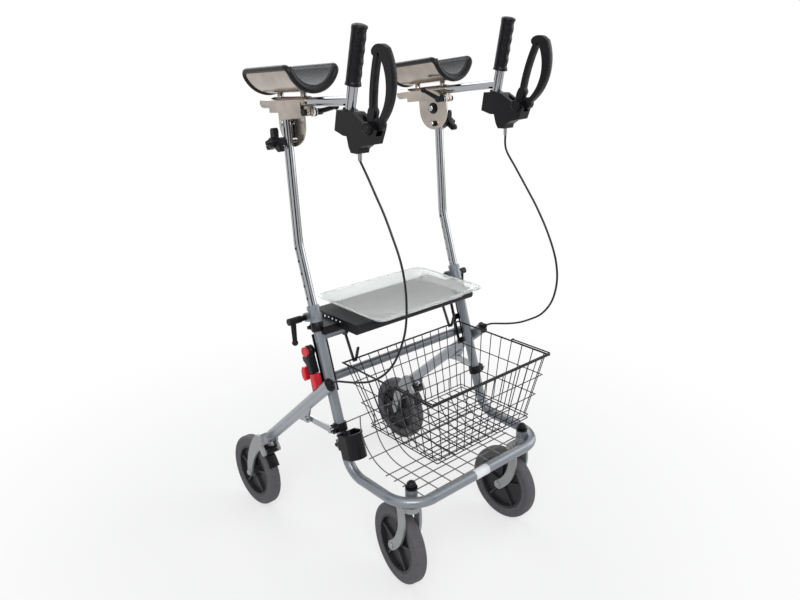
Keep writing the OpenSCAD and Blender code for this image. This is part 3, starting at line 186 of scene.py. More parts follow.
def finish(name, base, tint=None, rough=None, bump=None, **constants):
    """A material from constants on its shader and up to three patterns on Object coordinates.

    tint is a grain and the two factors on the base colour that it runs between, rough a grain and
    two roughnesses, and bump a list of grains that add up, their depth in millimetres and strength.
    """
    made = bpy.data.materials.new(name)
    made.use_nodes = True
    tree = made.node_tree
    shader = tree.nodes["Principled BSDF"]
    shader.inputs["Base Color"].default_value = base
    for socket, value in constants.items():
        shader.inputs[socket.replace("_", " ").title().replace("Ior", "IOR")].default_value = value
    place = add(tree, "ShaderNodeTexCoord").outputs["Object"]
    used = [pattern[0] for pattern in (tint, rough) if pattern] + (bump[0] if bump else [])
    values = {}
    for grain in dict.fromkeys(used):
        spot = add(tree, "ShaderNodeMapping", {"Vector": place, "Rotation": (grain.turn, 0, 0),
                                               "Scale": grain.stretch})
        noise = add(tree, "ShaderNodeTexNoise", {"Vector": spot.outputs["Vector"],
                                                 "Scale": 1 / (grain.size * MM), "Detail": grain.detail})
        values[grain] = noise.outputs["Fac"]
    if tint:
        grain, low, high = tint
        ramp = add(tree, "ShaderNodeValToRGB", {"Fac": values[grain]})
        first, last = ramp.color_ramp.elements
        first.position = NOISE_LOW
        last.position = NOISE_HIGH
        first.color = shade(base, low)
        last.color = shade(base, high)
        tree.links.new(ramp.outputs["Color"], shader.inputs["Base Color"])
    if rough:
        grain, low, high = rough
        spread = add(tree, "ShaderNodeMapRange", {"Value": values[grain], "From Min": NOISE_LOW,
                                                  "From Max": NOISE_HIGH, "To Min": low, "To Max": high})
        tree.links.new(spread.outputs["Result"], shader.inputs["Roughness"])
    if bump:
        grains, depth, strength = bump
        height = values[grains[0]]
        for grain in grains[1:]:
            both = add(tree, "ShaderNodeMath", {0: height, 1: values[grain]}, operation="ADD")
            height = both.outputs["Value"]
        raised = add(tree, "ShaderNodeBump", {"Height": height, "Strength": strength, "Distance": depth * MM})
        tree.links.new(raised.outputs["Normal"], shader.inputs["Normal"])
    return made


def powder_coated_tube(name, base):
    # Silver powder coat on steel tube: flake under a satin coat, a little orange peel.
    # The flake is drawn coarser than the real one, so that it shows
    return finish(name, base, metallic=0.55, roughness=0.34, coat_weight=0.25, coat_roughness=0.18,
                  tint=(Grain(0.8, 2.0), 0.9, 1.08),
                  rough=(Grain(40.0), 0.28, 0.42),
                  bump=([Grain(3.0, 1.0)], 0.05, 0.25))


def anodised_profile(name, base):
    # Drawn aluminium profile: draw lines along the leg, coarser than the real ones, satin grey anodising
    lines = Grain(1.2, 2.0, (1.0, 0.02, 1.0), math.radians(42))
    return finish(name, base, metallic=0.8, roughness=0.36,
                  tint=(lines, 0.92, 1.05), rough=(lines, 0.3, 0.44), bump=([lines], 0.03, 0.2))


def bright_chrome(name, base):
    # Chromed steel: near mirror with faint polishing haze and slight waves
    return finish(name, base, metallic=1.0, roughness=0.13,
                  rough=(Grain(25.0, 6.0), 0.08, 0.2), bump=([Grain(12.0, 1.0)], 0.03, 0.15))


def nickel_plate(name, base):
    # Satin nickel plate on pressed steel: warm, softly mirrored, with long polishing streaks
    streaks = Grain(2.0, 3.0, (1.0, 0.04, 1.0))
    return finish(name, base, metallic=1.0, roughness=0.2,
                  tint=(Grain(60.0, 2.0), 0.8, 1.15),
                  rough=(streaks, 0.14, 0.26),
                  bump=([Grain(16.0, 1.0)], 0.08, 0.25))


def die_cast(name, base):
    # Tumbled die-cast aluminium: soft grainy satin, darker in the pores
    pores = Grain(1.5)
    return finish(name, base, metallic=0.65, roughness=0.45,
                  tint=(pores, 0.86, 1.06), rough=(Grain(18.0), 0.36, 0.52), bump=([pores], 0.1, 0.3))


def moulded_nylon(name, base, roughness=0.34):
    # Glass-filled nylon: a soft sheen, paler where it is rubbed, with a spark-eroded grain that is drawn
    # coarser than the real one, so that it shows
    cells = Grain(0.9, 3.0)
    return finish(name, base, roughness=roughness, ior=1.5, specular_ior_level=0.22,
                  tint=(Grain(30.0), 0.85, 1.35),
                  rough=(cells, roughness - 0.06, roughness + 0.1),
                  bump=([cells], 0.06, 0.35))


def coated_wire(name, base):
    # Dip-coated wire: smooth, slightly glossy, thicker coat in patches
    patches = Grain(8.0, 2.0)
    return finish(name, base, roughness=0.35, specular_ior_level=0.3,
                  tint=(patches, 0.85, 1.25), bump=([patches], 0.08, 0.3))


def skinned_foam(name, base, roughness=0.5):
    # Self-skinned polyurethane foam: leathery grain, a dull sheen and slight dimples
    skin_grain = Grain(0.9, 3.0)
    dimples = Grain(14.0, 2.0)
    return finish(name, base, roughness=roughness, specular_ior_level=0.22, sheen_weight=0.1,
                  tint=(dimples, 0.88, 1.14),
                  rough=(skin_grain, roughness - 0.08, roughness + 0.1),
                  bump=([skin_grain, dimples], 0.12, 0.4))


def grey_rubber(name, base):
    # Solid grey rubber tyre: chalky, scuffed on the tread, grit picked up from the floor
    scuff = Grain(9.0, 6.0)
    return finish(name, base, roughness=0.62, specular_ior_level=0.25,
                  tint=(scuff, 0.86, 1.16), rough=(scuff, 0.54, 0.72), bump=([Grain(1.1, 2.0)], 0.1, 0.4))


def glossy_red(name, base):
    # Red ABS moulding: glossy, with faint flow marks
    flow = Grain(12.0, 2.0)
    return finish(name, base, roughness=0.25, ior=1.53, tint=(flow, 0.9, 1.08), bump=([flow], 0.05, 0.2))


def clear_styrene(name, base):
    # Clear vacuum-formed polystyrene: slightly milky, with light scratches on the floor of the tray
    scratches = Grain(2.0, 5.0, (1.0, 0.08, 1.0))
    return finish(name, base, roughness=0.08, ior=1.45, transmission_weight=0.8, alpha=0.8,
                  rough=(scratches, 0.04, 0.12))


def printed_blank(name, base):
    # Blank white polyester label: matt, with faint fibre
    fibre = Grain(1.5, 3.0)
    return finish(name, base, roughness=0.55, tint=(fibre, 0.96, 1.02), bump=([fibre], 0.03, 0.2))


FINISHES = {}


def make_finishes(c):
    """One material for each slot of the record, and the few that only this file uses."""
    FINISHES.update({
        "frame_paint": powder_coated_tube("powder_coated_tube", c.frame_silver),
        "leg_metal": anodised_profile("anodised_profile", c.leg_silver),
        "chrome": bright_chrome("bright_chrome", c.chrome),
        "nickel": nickel_plate("nickel_plate", c.nickel),
        "cast_metal": die_cast("die_cast_aluminium", c.casting),
        # The cross bar's finish is the frame paint darkened to 0.8: a shaded copy of the same paint, painted
        # shade for a bar that lies in shadow
        "dark_metal": powder_coated_tube("powder_coated_bar_painted_shade", shade(c.frame_silver, 0.8)),
        "black_plastic": moulded_nylon("moulded_black_nylon", c.black),
        "seat_plastic": moulded_nylon("moulded_seat", c.seat, 0.45),
        "black_wire": coated_wire("black_coated_wire", c.wire),
        "rack_wire": coated_wire("grey_coated_wire", c.rack),
        "pad": skinned_foam("skinned_foam", c.pad),
        "rim": skinned_foam("foam_rim", c.rim, 0.36),
        "hub_plastic": moulded_nylon("moulded_hub", c.hub, 0.42),
        "tyre": grey_rubber("grey_rubber", c.tyre),
        "red_plastic": glossy_red("glossy_red_abs", c.red),
        "clear_plastic": clear_styrene("clear_styrene", c.clear),
        "cable": coated_wire("cable_sheath", c.wire),
        "label": printed_blank("blank_label", c.label),
        "white": moulded_nylon("white_nylon", c.white),
    })


# Mesh helpers

# Points closer than this are one point
SAME_POINT = 1e-6


def put(name, data):
    """A new object in the scene."""
    made = bpy.data.objects.new(name, data)
    bpy.context.scene.collection.objects.link(made)
    return made


def mesh_from(name, bm):
    """A mesh from a bmesh, which is freed."""
    data = bpy.data.meshes.new(name)
    bm.to_mesh(data)
    bm.free()
    return data


def piece(name, bm, body, material, smooth=True):
    """A finished piece from a bmesh: one object at the origin that rides on a body."""
    bmesh.ops.remove_doubles(bm, verts=bm.verts, dist=SAME_POINT)
    bmesh.ops.recalc_face_normals(bm, faces=bm.faces)
    for face in bm.faces:
        face.smooth = smooth
    data = mesh_from(name, bm)
    data.materials.append(FINISHES[material])
    made = put(name, data)
    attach(made, body)
    return made


def ring(bm, points):
    """A closed loop of edges through the points."""
    verts = [bm.verts.new(p) for p in points]
    return [bm.edges.new((a, b)) for a, b in zip(verts, verts[1:] + verts[:1])]


def skin(bm, rings):
    """Bridges neighbouring loops and closes the first and last."""
    for a, b in zip(rings, rings[1:]):
        bmesh.ops.bridge_loops(bm, edges=a + b)
    for end in (rings[0], rings[-1]):
        bmesh.ops.edgeloop_fill(bm, edges=end)


def tube(path, radius, closed=False):
    """A mesh tube along the path."""
    curve = bpy.data.curves.new("tube_line", "CURVE")
    curve.dimensions = "3D"
    curve.bevel_depth = radius
    curve.bevel_resolution = 4
    curve.use_fill_caps = not closed
    line = curve.splines.new("POLY")
    line.points.add(len(path) - 1)
    line.use_cyclic_u = closed
    for point, place in zip(line.points, path):
        point.co = (*place, 1)
    shape = put("tube_line", curve)
    data = bpy.data.meshes.new_from_object(shape.evaluated_get(bpy.context.evaluated_depsgraph_get()))
    bpy.data.objects.remove(shape)
    bpy.data.curves.remove(curve)
    return data


def add_tube(bm, path, radius, closed=False):
    """Adds a tube along the path to a bmesh."""
    data = tube(path, radius, closed)
    bm.from_mesh(data)
    bpy.data.meshes.remove(data)


def lathe(bm, profile, place):
    """Spins a profile of (radius, distance along X) points about X, then puts it in place."""
    verts = [bm.verts.new((along * MM, radius * MM, 0)) for radius, along in profile]
    edges = [bm.edges.new(pair) for pair in zip(verts, verts[1:])]
    old = set(bm.verts) - set(verts)
    bmesh.ops.spin(bm, geom=verts + edges, cent=(0, 0, 0), axis=(1, 0, 0), dvec=(0, 0, 0),
                   angle=2 * math.pi, steps=32, use_merge=True, use_duplicate=False)
    bmesh.ops.transform(bm, matrix=place, verts=[v for v in bm.verts if v not in old])


def arm_place(side):
    """The arm's frame: origin on the tilt pivot, -Y towards the handle."""
    s = bpy.context.scene.walker_sizes
    pivot = Matrix.Translation((SIDES[side] * s.arm_x, s.pivot_y, s.pivot_z))
    return pivot @ Matrix.Rotation(-getattr(s, "tilt_" + side), 4, "X")


def handle_place(side):
    """The handle's frame: origin where the post meets its bar."""
    s = bpy.context.scene.walker_sizes
    shift = Matrix.Translation((0, -getattr(s, "reach_" + side), s.tube_up))
    return arm_place(side) @ shift @ Matrix.Rotation(s.handle_set, 4, "X")


class WalkerOperator:
    """What every operator here shares."""
    bl_options = {"REGISTER", "UNDO"}

    def execute(self, context):
        self.make(context.scene.walker_sizes, context.scene.walker_colours)
        return {"FINISHED"}


# Stage

# The photograph's camera, fitted to the wheels, uprights and hoop: metres and degrees
CAMERA_LENS = 33.48
CAMERA_TARGET = Vector((0, -0.04365, 0.62124))
CAMERA_AWAY = 1.877
CAMERA_AZIMUTH = -41.54
CAMERA_ELEVATION = 19.79
CAMERA_ROLL = -0.58

# The floor fades to white between these distances from the middle, and inside FADE_START
# FADE_NEAR of it is white, so that shadows stay soft
FLOOR_GREY = 0.78
FADE_START = 0.5
FADE_END = 1.5
FADE_NEAR = 0.6

# Place, size in metres and watts
LAMPS = {
    "key": ((-2.2, -2.6, 3.0), 2.2, 95),
    "fill": ((3.0, -1.2, 1.8), 2.5, 38),
    "back": ((0.5, 3.0, 2.6), 2.5, 45),
}
LAMP_AIM = Vector((0, 0, 0.7))

# Dark cards out of sight give the chrome something to reflect: place, width and height
CARDS = {
    "card_near": ((-2.9, 0.9, 1.0), (1.0, 2.6)),
    "card_front": ((-1.9, -2.9, 1.0), (2.0, 2.4)),
    "card_right": ((1.2, -3.2, 1.0), (0.9, 2.4)),
    "card_far": ((3.0, 0.6, 1.0), (1.2, 2.4)),
}
CARD_AIM = Vector((0, 0, 0.8))
CARD_COLOUR = (0.03, 0.03, 0.034, 1)


class WALKER_OT_stage(WalkerOperator, bpy.types.Operator):
    """Camera at the photograph's angle, white surroundings, a pale floor and soft lamps"""
    bl_idname = "walker.stage"
    bl_label = "Stage"

    def make(self, sizes, colours):
        self.camera()
        self.surroundings()
        self.floor()
        self.lamps()
        self.cards()

    def camera(self):
        data = bpy.data.cameras.new("camera")
        data.sensor_width = 36.0
        data.lens = CAMERA_LENS
        data.clip_start = 0.05
        made = put("camera", data)
        azimuth, elevation, roll = (math.radians(a) for a in (CAMERA_AZIMUTH, CAMERA_ELEVATION, CAMERA_ROLL))
        back = Vector((math.sin(azimuth) * math.cos(elevation), -math.cos(azimuth) * math.cos(elevation),
                       math.sin(elevation)))
        across = (-back).cross(Vector((0, 0, 1))).normalized()
        upward = across.cross(-back)
        x = math.cos(roll) * across + math.sin(roll) * upward
        y = -math.sin(roll) * across + math.cos(roll) * upward
        turn = Matrix((x, y, back)).transposed().to_4x4()
        made.matrix_world = Matrix.Translation(CAMERA_TARGET + back * CAMERA_AWAY) @ turn
        bpy.context.scene.camera = made
        bpy.context.scene.view_settings.view_transform = "Standard"

    def seen(self, tree):
        """1 for rays from the camera and for rays that show in metal and glass."""
        path = add(tree, "ShaderNodeLightPath").outputs
        first = add(tree, "ShaderNodeMath", {0: path["Is Camera Ray"], 1: path["Is Glossy Ray"]},
                    operation="MAXIMUM")
        both = add(tree, "ShaderNodeMath", {0: first.outputs["Value"], 1: path["Is Transmission Ray"]},
                   operation="MAXIMUM")
        return both.outputs["Value"]

    def surroundings(self):
        world = bpy.data.worlds.new("white_room")
        bpy.context.scene.world = world
        world.use_nodes = True
        tree = world.node_tree
        tree.nodes.clear()
        lit = add(tree, "ShaderNodeBackground", {"Color": linear("f4f6f8"), "Strength": 0.55})
        white = add(tree, "ShaderNodeBackground", {"Color": (1, 1, 1, 1), "Strength": 1.0})
        mix = add(tree, "ShaderNodeMixShader", {"Fac": self.seen(tree), 1: lit.outputs["Background"],
                                                2: white.outputs["Background"]})
        add(tree, "ShaderNodeOutputWorld", {"Surface": mix.outputs["Shader"]})

    def floor(self):
        bm = bmesh.new()
        bmesh.ops.create_grid(bm, x_segments=2, y_segments=2, size=30.0)
        made = put("floor", mesh_from("floor", bm))
        pale = bpy.data.materials.new("pale_floor")
        pale.use_nodes = True
        tree = pale.node_tree
        tree.nodes.clear()
        plain = add(tree, "ShaderNodeBsdfDiffuse", {"Color": (FLOOR_GREY, FLOOR_GREY, FLOOR_GREY, 1)})
        glow = add(tree, "ShaderNodeEmission", {"Color": (1, 1, 1, 1), "Strength": 1.0})
        place = add(tree, "ShaderNodeTexCoord").outputs["Object"]
        away = add(tree, "ShaderNodeVectorMath", {0: place}, operation="LENGTH")
        fade = add(tree, "ShaderNodeMapRange", {"Value": away.outputs["Value"], "From Min": FADE_START,
                                                "From Max": FADE_END, "To Min": FADE_NEAR, "To Max": 1.0},
                   interpolation_type="SMOOTHSTEP")
        shown = add(tree, "ShaderNodeMixShader", {"Fac": fade.outputs["Result"], 1: plain.outputs["BSDF"],
                                                  2: glow.outputs["Emission"]})
        mix = add(tree, "ShaderNodeMixShader", {"Fac": self.seen(tree), 1: plain.outputs["BSDF"],
                                                2: shown.outputs["Shader"]})
        add(tree, "ShaderNodeOutputMaterial", {"Surface": mix.outputs["Shader"]})
        made.data.materials.append(pale)

    def lamps(self):
        for name, (place, size, watts) in LAMPS.items():
            data = bpy.data.lights.new(name, "AREA")
            data.size = size
            data.energy = watts
            made = put(name, data)
            made.location = place
            made.rotation_euler = (LAMP_AIM - Vector(place)).to_track_quat("-Z", "Y").to_euler()

    def cards(self):
        for name, (place, (width, height)) in CARDS.items():
            turn = (CARD_AIM - Vector(place)).to_track_quat("-Z", "Y").to_matrix().to_4x4()
            stand = Matrix.Translation(place) @ turn @ Matrix.Diagonal((width, height, 1, 1))
            bm = bmesh.new()
            bmesh.ops.create_grid(bm, x_segments=1, y_segments=1, size=0.5, matrix=stand)
            made = put(name, mesh_from(name, bm))
            made.data.materials.append(finish(name, CARD_COLOUR, roughness=0.9))
            made.visible_camera = False
            made.visible_shadow = False
            made.visible_diffuse = False


# Finishes on the CAD nodes

# Edge radius in millimetres of the mouldings and castings
EDGES = {
    "brake_housing": 3.0, "brake_lever": 3.0, "bar_clamp_lever": 1.0, "height_lever": 1.5, "tilt_knob": 1.5,
    "seat_clamps": 1.2, "leg_caps": 1.0, "brake_shoe": 1.0, "caster_fork": 1.5, "rear_forks": 1.5,
    "arm_bracket": 0.8, "cane_cup": 0.6, "fold_guides": 0.6,
}

# Wires that the eye sees finer than their solids, in millimetres all round
THINNER = {"basket_walls": 0.45, "basket_floor": 0.35, "basket_bail": 0.8}

# Pressed pieces that are plated, whatever their slot
PLATED = ("arm_bracket", "trough_shell")


class WALKER_OT_finishes(WalkerOperator, bpy.types.Operator):
    """Gives every CAD node the material of its slot and rounds the edges of mouldings and castings"""
    bl_idname = "walker.finishes"
    bl_label = "Finishes"

    def make(self, sizes, colours):
        make_finishes(colours)
        for part in frame["record"]["subparts"]:
            name = part["node"]
            data = NODES[name].data
            data.materials.clear()
            data.materials.append(FINISHES["nickel" if name.startswith(PLATED) else part["material_slot"]])
            if name in THINNER:
                self.slim(NODES[name], THINNER[name] * MM)
            width = next((w for start, w in EDGES.items() if name.startswith(start)), 0)
            if width:
                self.round_edges(NODES[name], width * MM)

    def join(self, made):
        """Joins a node's loose triangles."""
        weld = made.modifiers.new("joined_triangles", "WELD")
        weld.merge_threshold = 0.002 * MM

    def slim(self, made, depth):
        """Draws a wire piece that much thinner all round."""
        self.join(made)
        less = made.modifiers.new("finer_wire", "DISPLACE")
        less.strength = -depth
        less.mid_level = 0.0

    def round_edges(self, made, width):
        """Rounds the sharp edges of a moulding or casting by modifiers alone."""
        self.join(made)
        flat = made.modifiers.new("flat_faces", "DECIMATE")
        flat.decimate_type = "DISSOLVE"
        flat.angle_limit = math.radians(0.5)
        edge = made.modifiers.new("rounded_edges", "BEVEL")
        edge.width = width
        edge.segments = 2
        edge.limit_method = "ANGLE"
        edge.angle_limit = math.radians(40)
        edge.use_clamp_overlap = True
        edge.harden_normals = True


# Cables

# Points on each cable's way from the ferrule to the leg plug, in millimetres, with X outwards
ROUTES = {
    "right": [(215, -190, 980), (215, -215, 945), (215, -240, 910), (216, -265, 870), (217, -290, 825),
              (218, -305, 780), (220, -312, 730), (224, -312, 680), (230, -302, 635), (238, -285, 595),
              (246, -260, 565), (252, -225, 542), (257, -185, 527), (260, -150, 517), (262, -122, 509)],
    "left": [(215, -190, 990), (215, -222, 950), (215, -255, 910), (216, -290, 865), (217, -325, 810),
             (218, -350, 755), (220, -358, 705), (224, -350, 660), (230, -332, 625), (238, -302, 592),
             (246, -265, 567), (252, -225, 545), (257, -185, 529), (260, -150, 518), (262, -122, 509)],
}
PLUG_END = (262, -101.26, 498.54)

# The ferrule's end in the handle's frame
FERRULE_END = (0, -25, -117.4)

# Points on the curve from one point of a route to the next
ROUTE_STEPS = 6

# Stretches of a cable: name, lower body, upper body, and where it begins and ends as shares of the route
STRETCHES = (
    ("", "front_frame", "stem_", 0.5, 1.0),
    ("_upper", "stem_", "arm_", 0.1875, 0.5),
    ("_top", "arm_", "handle_", 0.0, 0.1875),
)


def smooth_route(points):
    """A smooth curve through the points."""
    out = []
    last = len(points) - 1
    for k in range(last):
        a, b, c, d = (points[max(0, min(last, k + j))] for j in (-1, 0, 1, 2))
        for j in range(ROUTE_STEPS):
            t = j / ROUTE_STEPS
            out.append(0.5 * (2 * b + (c - a) * t + (2 * a - 5 * b + 4 * c - d) * t * t
                              + (3 * b - a - 3 * c + d) * t ** 3))
    return out + [points[-1]]


class WALKER_OT_brake_cables(WalkerOperator, bpy.types.Operator):
    """Two sheathed brake cables from the housings down to the leg plugs, each made in three stretches"""
    bl_idname = "walker.brake_cables"
    bl_label = "Brake cables"

    def make(self, sizes, colours):
        for side, sign in SIDES.items():
            start = handle_place(side) @ (Vector(FERRULE_END) * MM)
            points = [Vector((x * sign, y, z)) * MM for x, y, z in ROUTES[side] + [PLUG_END]]
            route = smooth_route([start] + points)
            last = len(route) - 1
            for name, lower, upper, begin, end in STRETCHES:
                path = route[round(begin * last):round(end * last) + 1]
                made = self.stretch("cable_" + side + name, path, sizes)
                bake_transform(made)
                if not name:
                    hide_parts("brake_cable_" + side)

    def stretch(self, name, path, sizes):
        """One stretch of a cable along the path, from its upper end to its lower."""
        data = tube(path, sizes.cable_d / 2)
        data.name = name
        data.materials.clear()
        data.materials.append(FINISHES["cable"])
        for face in data.polygons:
            face.use_smooth = True
        made = put(name, data)
        return made


# Trough pads

PAD_CUTS = 22
PAD_GAP = 0.2 * MM

# Shares by which a pad is thinner at its sides and thicker at its ends
PAD_SIDE_LESS = 0.2
PAD_END_MORE = 0.12

# The rim's middle line: inside the shell's outer face, its corner radius and the step between its points
RIM_IN = 2.5 * MM
RIM_CORNER = 14 * MM
RIM_STEP = 6 * MM


class WALKER_OT_trough_pads(WalkerOperator, bpy.types.Operator):
    """Moulded foam liners for the forearms, rolled over the shell's edges in a thick round rim"""
    bl_idname = "walker.trough_pads"
    bl_label = "Trough pads"

    def bent(self, place, radius, around, y):
        """A point about the trough's axis."""
        return place @ Vector((radius * math.sin(around), y, -radius * math.cos(around)))

    def rim_path(self, place, sizes, end):
        """The rim's middle line: round the shell's border, with rounded corners."""
        radius = sizes.trough_r - RIM_IN
        half = sizes.trough_half * radius
        border = []
        for turn, (x, y) in enumerate(((1, 1), (-1, 1), (-1, -1), (1, -1))):
            for degrees in range(90 * turn, 90 * turn + 91, 15):
                a = math.radians(degrees)
                border.append((x * (half - RIM_CORNER) + RIM_CORNER * math.cos(a),
                               y * (end - RIM_CORNER) + RIM_CORNER * math.sin(a)))
        path = []
        for (s, y), (s_next, y_next) in zip(border, border[1:] + border[:1]):
            steps = max(1, round(math.hypot(s_next - s, y_next - y) / RIM_STEP))
            for j in range(steps):
                t = j / steps
                path.append(self.bent(place, radius, (s + (s_next - s) * t) / radius, y + (y_next - y) * t))
        return path

    def make(self, sizes, colours):
        outer = sizes.trough_r - sizes.shell_t - PAD_GAP
        end = sizes.trough_l / 2 - sizes.rim_r
        for side in SIDES:
            place = arm_place(side) @ Matrix.Translation((0, 0, sizes.trough_up))
            bm = bmesh.new()
            bmesh.ops.create_cube(bm, size=2.0)
            bmesh.ops.subdivide_edges(bm, edges=bm.edges, cuts=PAD_CUTS, use_grid_fill=True)
            for v in bm.verts:
                x, y, z = v.co
                deep = sizes.pad_t * (1 - PAD_SIDE_LESS * abs(x) ** 3) * (1 + PAD_END_MORE * abs(y) ** 6)
                v.co = self.bent(place, outer - deep * (1 + z) / 2, x * sizes.trough_half, y * end)
            body = set(bm.faces)
            add_tube(bm, self.rim_path(place, sizes, end), sizes.rim_r, closed=True)
            for face in bm.faces:
                face.material_index = 0 if face in body else 1
            made = piece("trough_liner_" + side, bm, "arm_" + side, "pad")
            made.data.materials.append(FINISHES["rim"])
            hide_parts("trough_pad_" + side)


# Grips

GRIP_RINGS = 56
GRIP_SIDES = 32
GRIP_INSET = 0.6 * MM
WAVE_DEPTH = 2.6 * MM

# The foot's flare and the top's lip, and the shares of the grip's length where they end and begin
FOOT_FLARE = 1.4 * MM
FOOT_SHARE = 0.06
TOP_LIP = 0.6 * MM
TOP_SHARE = 0.94

# The finger waves, as shares of the grip's length
WAVES_START = 0.1
WAVES_RUN = 0.8
WAVES_END = 0.95

# Rings that close the top: share of the grip's width, and rise in millimetres
CROWN = ((0.93, 1.2), (0.8, 2.0))

# The end disc, in millimetres
DISC_FOOT_R = 11
DISC_TOP_R = 10.4
DISC_THICK = 1.2
DISC_UP = 2.4


class WALKER_OT_grips(WalkerOperator, bpy.types.Operator):
    """Black hand grips with finger waves in front and a grey end disc"""
    bl_idname = "walker.grips"
    bl_label = "Grips"

    def make(self, sizes, colours):
        for side in SIDES:
            place = handle_place(side) @ Matrix.Rotation(sizes.post_lean, 4, "X")
            place = place @ Matrix.Translation((0, 0, sizes.grip_up))
            bm = bmesh.new()
            rings = []
            for k in range(GRIP_RINGS + 1):
                outline = self.outline(sizes, sizes.grip_l * k / GRIP_RINGS)
                rings.append(ring(bm, [place @ p for p in outline]))
            for share, rise in CROWN:
                top = [Vector((p.x * share, p.y * share, sizes.grip_l + rise * MM)) for p in outline]
                rings.append(ring(bm, [place @ p for p in top]))
            skin(bm, rings)
            made = piece("hand_grip_" + side, bm, "handle_" + side, "black_plastic")
            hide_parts("grip_" + side)
            self.end_disc(side, place, sizes)

    def outline(self, sizes, up):
        """One ring of the grip, waved at the front and flared at its foot."""
        share = up / sizes.grip_l
        base = sizes.grip_d / 2 - GRIP_INSET
        if share < FOOT_SHARE:
            base += FOOT_FLARE * (1 - share / FOOT_SHARE)
        if share > TOP_SHARE:
            base += TOP_LIP
        along = min(max((share - WAVES_START) / WAVES_RUN, 0), 1)
        wave = 0.5 - 0.5 * math.cos(2 * math.pi * sizes.grip_waves * along)
        depth = WAVE_DEPTH * (1 - wave) * (FOOT_SHARE < share < WAVES_END)
        points = []
        for j in range(GRIP_SIDES):
            a = 2 * math.pi * j / GRIP_SIDES
            # 1 at the very front, 0 at the sides and the back
            front = max(0.0, -math.sin(a)) ** 1.5
            r = base - front * depth
            points.append(Vector((r * math.cos(a), r * math.sin(a), up)))
        return points

    def end_disc(self, side, place, sizes):
        """The grey disc let into the top of a grip."""
        bm = bmesh.new()
        bmesh.ops.create_cone(bm, cap_ends=True, segments=GRIP_SIDES, radius1=DISC_FOOT_R * MM,
                              radius2=DISC_TOP_R * MM, depth=DISC_THICK * MM)
        top = Matrix.Translation((0, 0, sizes.grip_l + DISC_UP * MM))
        bmesh.ops.transform(bm, matrix=place @ top, verts=bm.verts)
        piece("grip_end_" + side, bm, "handle_" + side, "hub_plastic", smooth=False)


# Label

# The front run of the hoop, in millimetres
HOOP_AXIS = Vector((0, -334, 258))
HOOP_RADIUS = 12.5

# The label's place along X and its way round the tube, in millimetres and degrees
LABEL_START = -28
LABEL_WIDTH = 46
LABEL_LOW = -35
LABEL_SPAN = 150
LABEL_STEPS = 12
LABEL_GAP = 0.25
LABEL_THICK = 0.2


class WALKER_OT_bare_label(WalkerOperator, bpy.types.Operator):
    """A blank white label wrapped round the front run of the hoop"""
    bl_idname = "walker.bare_label"
    bl_label = "Bare label"

    def make(self, sizes, colours):
        radius = HOOP_RADIUS + LABEL_GAP
        bm = bmesh.new()
        edge = []
        for k in range(LABEL_STEPS + 1):
            a = math.radians(LABEL_LOW + LABEL_SPAN * k / LABEL_STEPS)
            point = HOOP_AXIS + Vector((LABEL_START, -radius * math.cos(a), radius * math.sin(a)))
            edge.append(bm.verts.new(point * MM))
        strips = [bm.edges.new(pair) for pair in zip(edge, edge[1:])]
        made = bmesh.ops.extrude_edge_only(bm, edges=strips)
        moved = [v for v in made["geom"] if isinstance(v, bmesh.types.BMVert)]
        bmesh.ops.translate(bm, verts=moved, vec=(LABEL_WIDTH * MM, 0, 0))
        label = piece("bare_label", bm, "front_frame", "label")
        thick = label.modifiers.new("label_thickness", "SOLIDIFY")
        thick.thickness = LABEL_THICK * MM


# Wire rack

# The rack's lines inside its solid's box
RACK_FLOOR_UP = 2.8 * MM
RACK_BACK_IN = 5.3 * MM
RACK_TOP_DOWN = 3 * MM

# Cross wires: shares along the floor, degrees round the bend, and how far they stand past the long wires
FLOOR_CROSSINGS = (0.02, 0.25, 0.48, 0.71, 0.95)
BEND_CROSSINGS = (25, 55)
CROSSING_PAST = 8 * MM
BEND_STEP = 6


class WALKER_OT_rack(WalkerOperator, bpy.types.Operator):
    """The fine wire rack over the hoop: bent long wires on straight cross wires"""
    bl_idname = "walker.rack"
    bl_label = "Wire rack"

    def make(self, sizes, colours):
        low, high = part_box("wire_rack")
        radius = sizes.rack_bend
        wire = sizes.rack_wire
        half = sizes.rack_half
        floor = low[2] + RACK_FLOOR_UP + wire
        back = high[1] - RACK_BACK_IN
        turn = back - radius

        def on_bend(r, degrees):
            """A point of the bend in Y and Z, at that radius."""
            a = math.radians(degrees)
            return turn + r * math.cos(a), floor + radius - r * math.sin(a)

        bend = [on_bend(radius, degrees) for degrees in range(0, 91, BEND_STEP)]
        profile = [(back, high[2] - wire)] + bend + [(low[1] + wire, floor)]
        lines = []
        for k in range(sizes.rack_count):
            x = -half + 2 * half * k / (sizes.rack_count - 1)
            lines.append([Vector((x, y, z)) for y, z in profile])
        run = turn - low[1]
        crossings = [(turn - run * share, floor - 2 * wire) for share in FLOOR_CROSSINGS]
        crossings += [on_bend(radius + 2 * wire, degrees) for degrees in BEND_CROSSINGS]
        past = half + CROSSING_PAST
        for y, z in crossings:
            lines.append([Vector((-past, y, z)), Vector((past, y, z))])
        top = (back + 2 * wire, high[2] - RACK_TOP_DOWN)
        lines.append([Vector((low[0] + wire, *top)), Vector((high[0] - wire, *top))])
        bm = bmesh.new()
        for line in lines:
            add_tube(bm, line, wire)
        made = piece("fine_wire_rack", bm, "front_frame", "rack_wire")
        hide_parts("wire_rack")


# Fold latch

# The uprights lean back by this from their foot, and the latch's frame is on their axis at LATCH_Z
UPRIGHT_LEAN = math.radians(17.5)
UPRIGHT_FOOT_Y = -125
UPRIGHT_FOOT_Z = 258
LATCH_Z = 462

# The latch's inner and outer face, and the radius of its edges, in millimetres
LATCH_IN = 252
LATCH_OUT = 272
LATCH_EDGE = 2

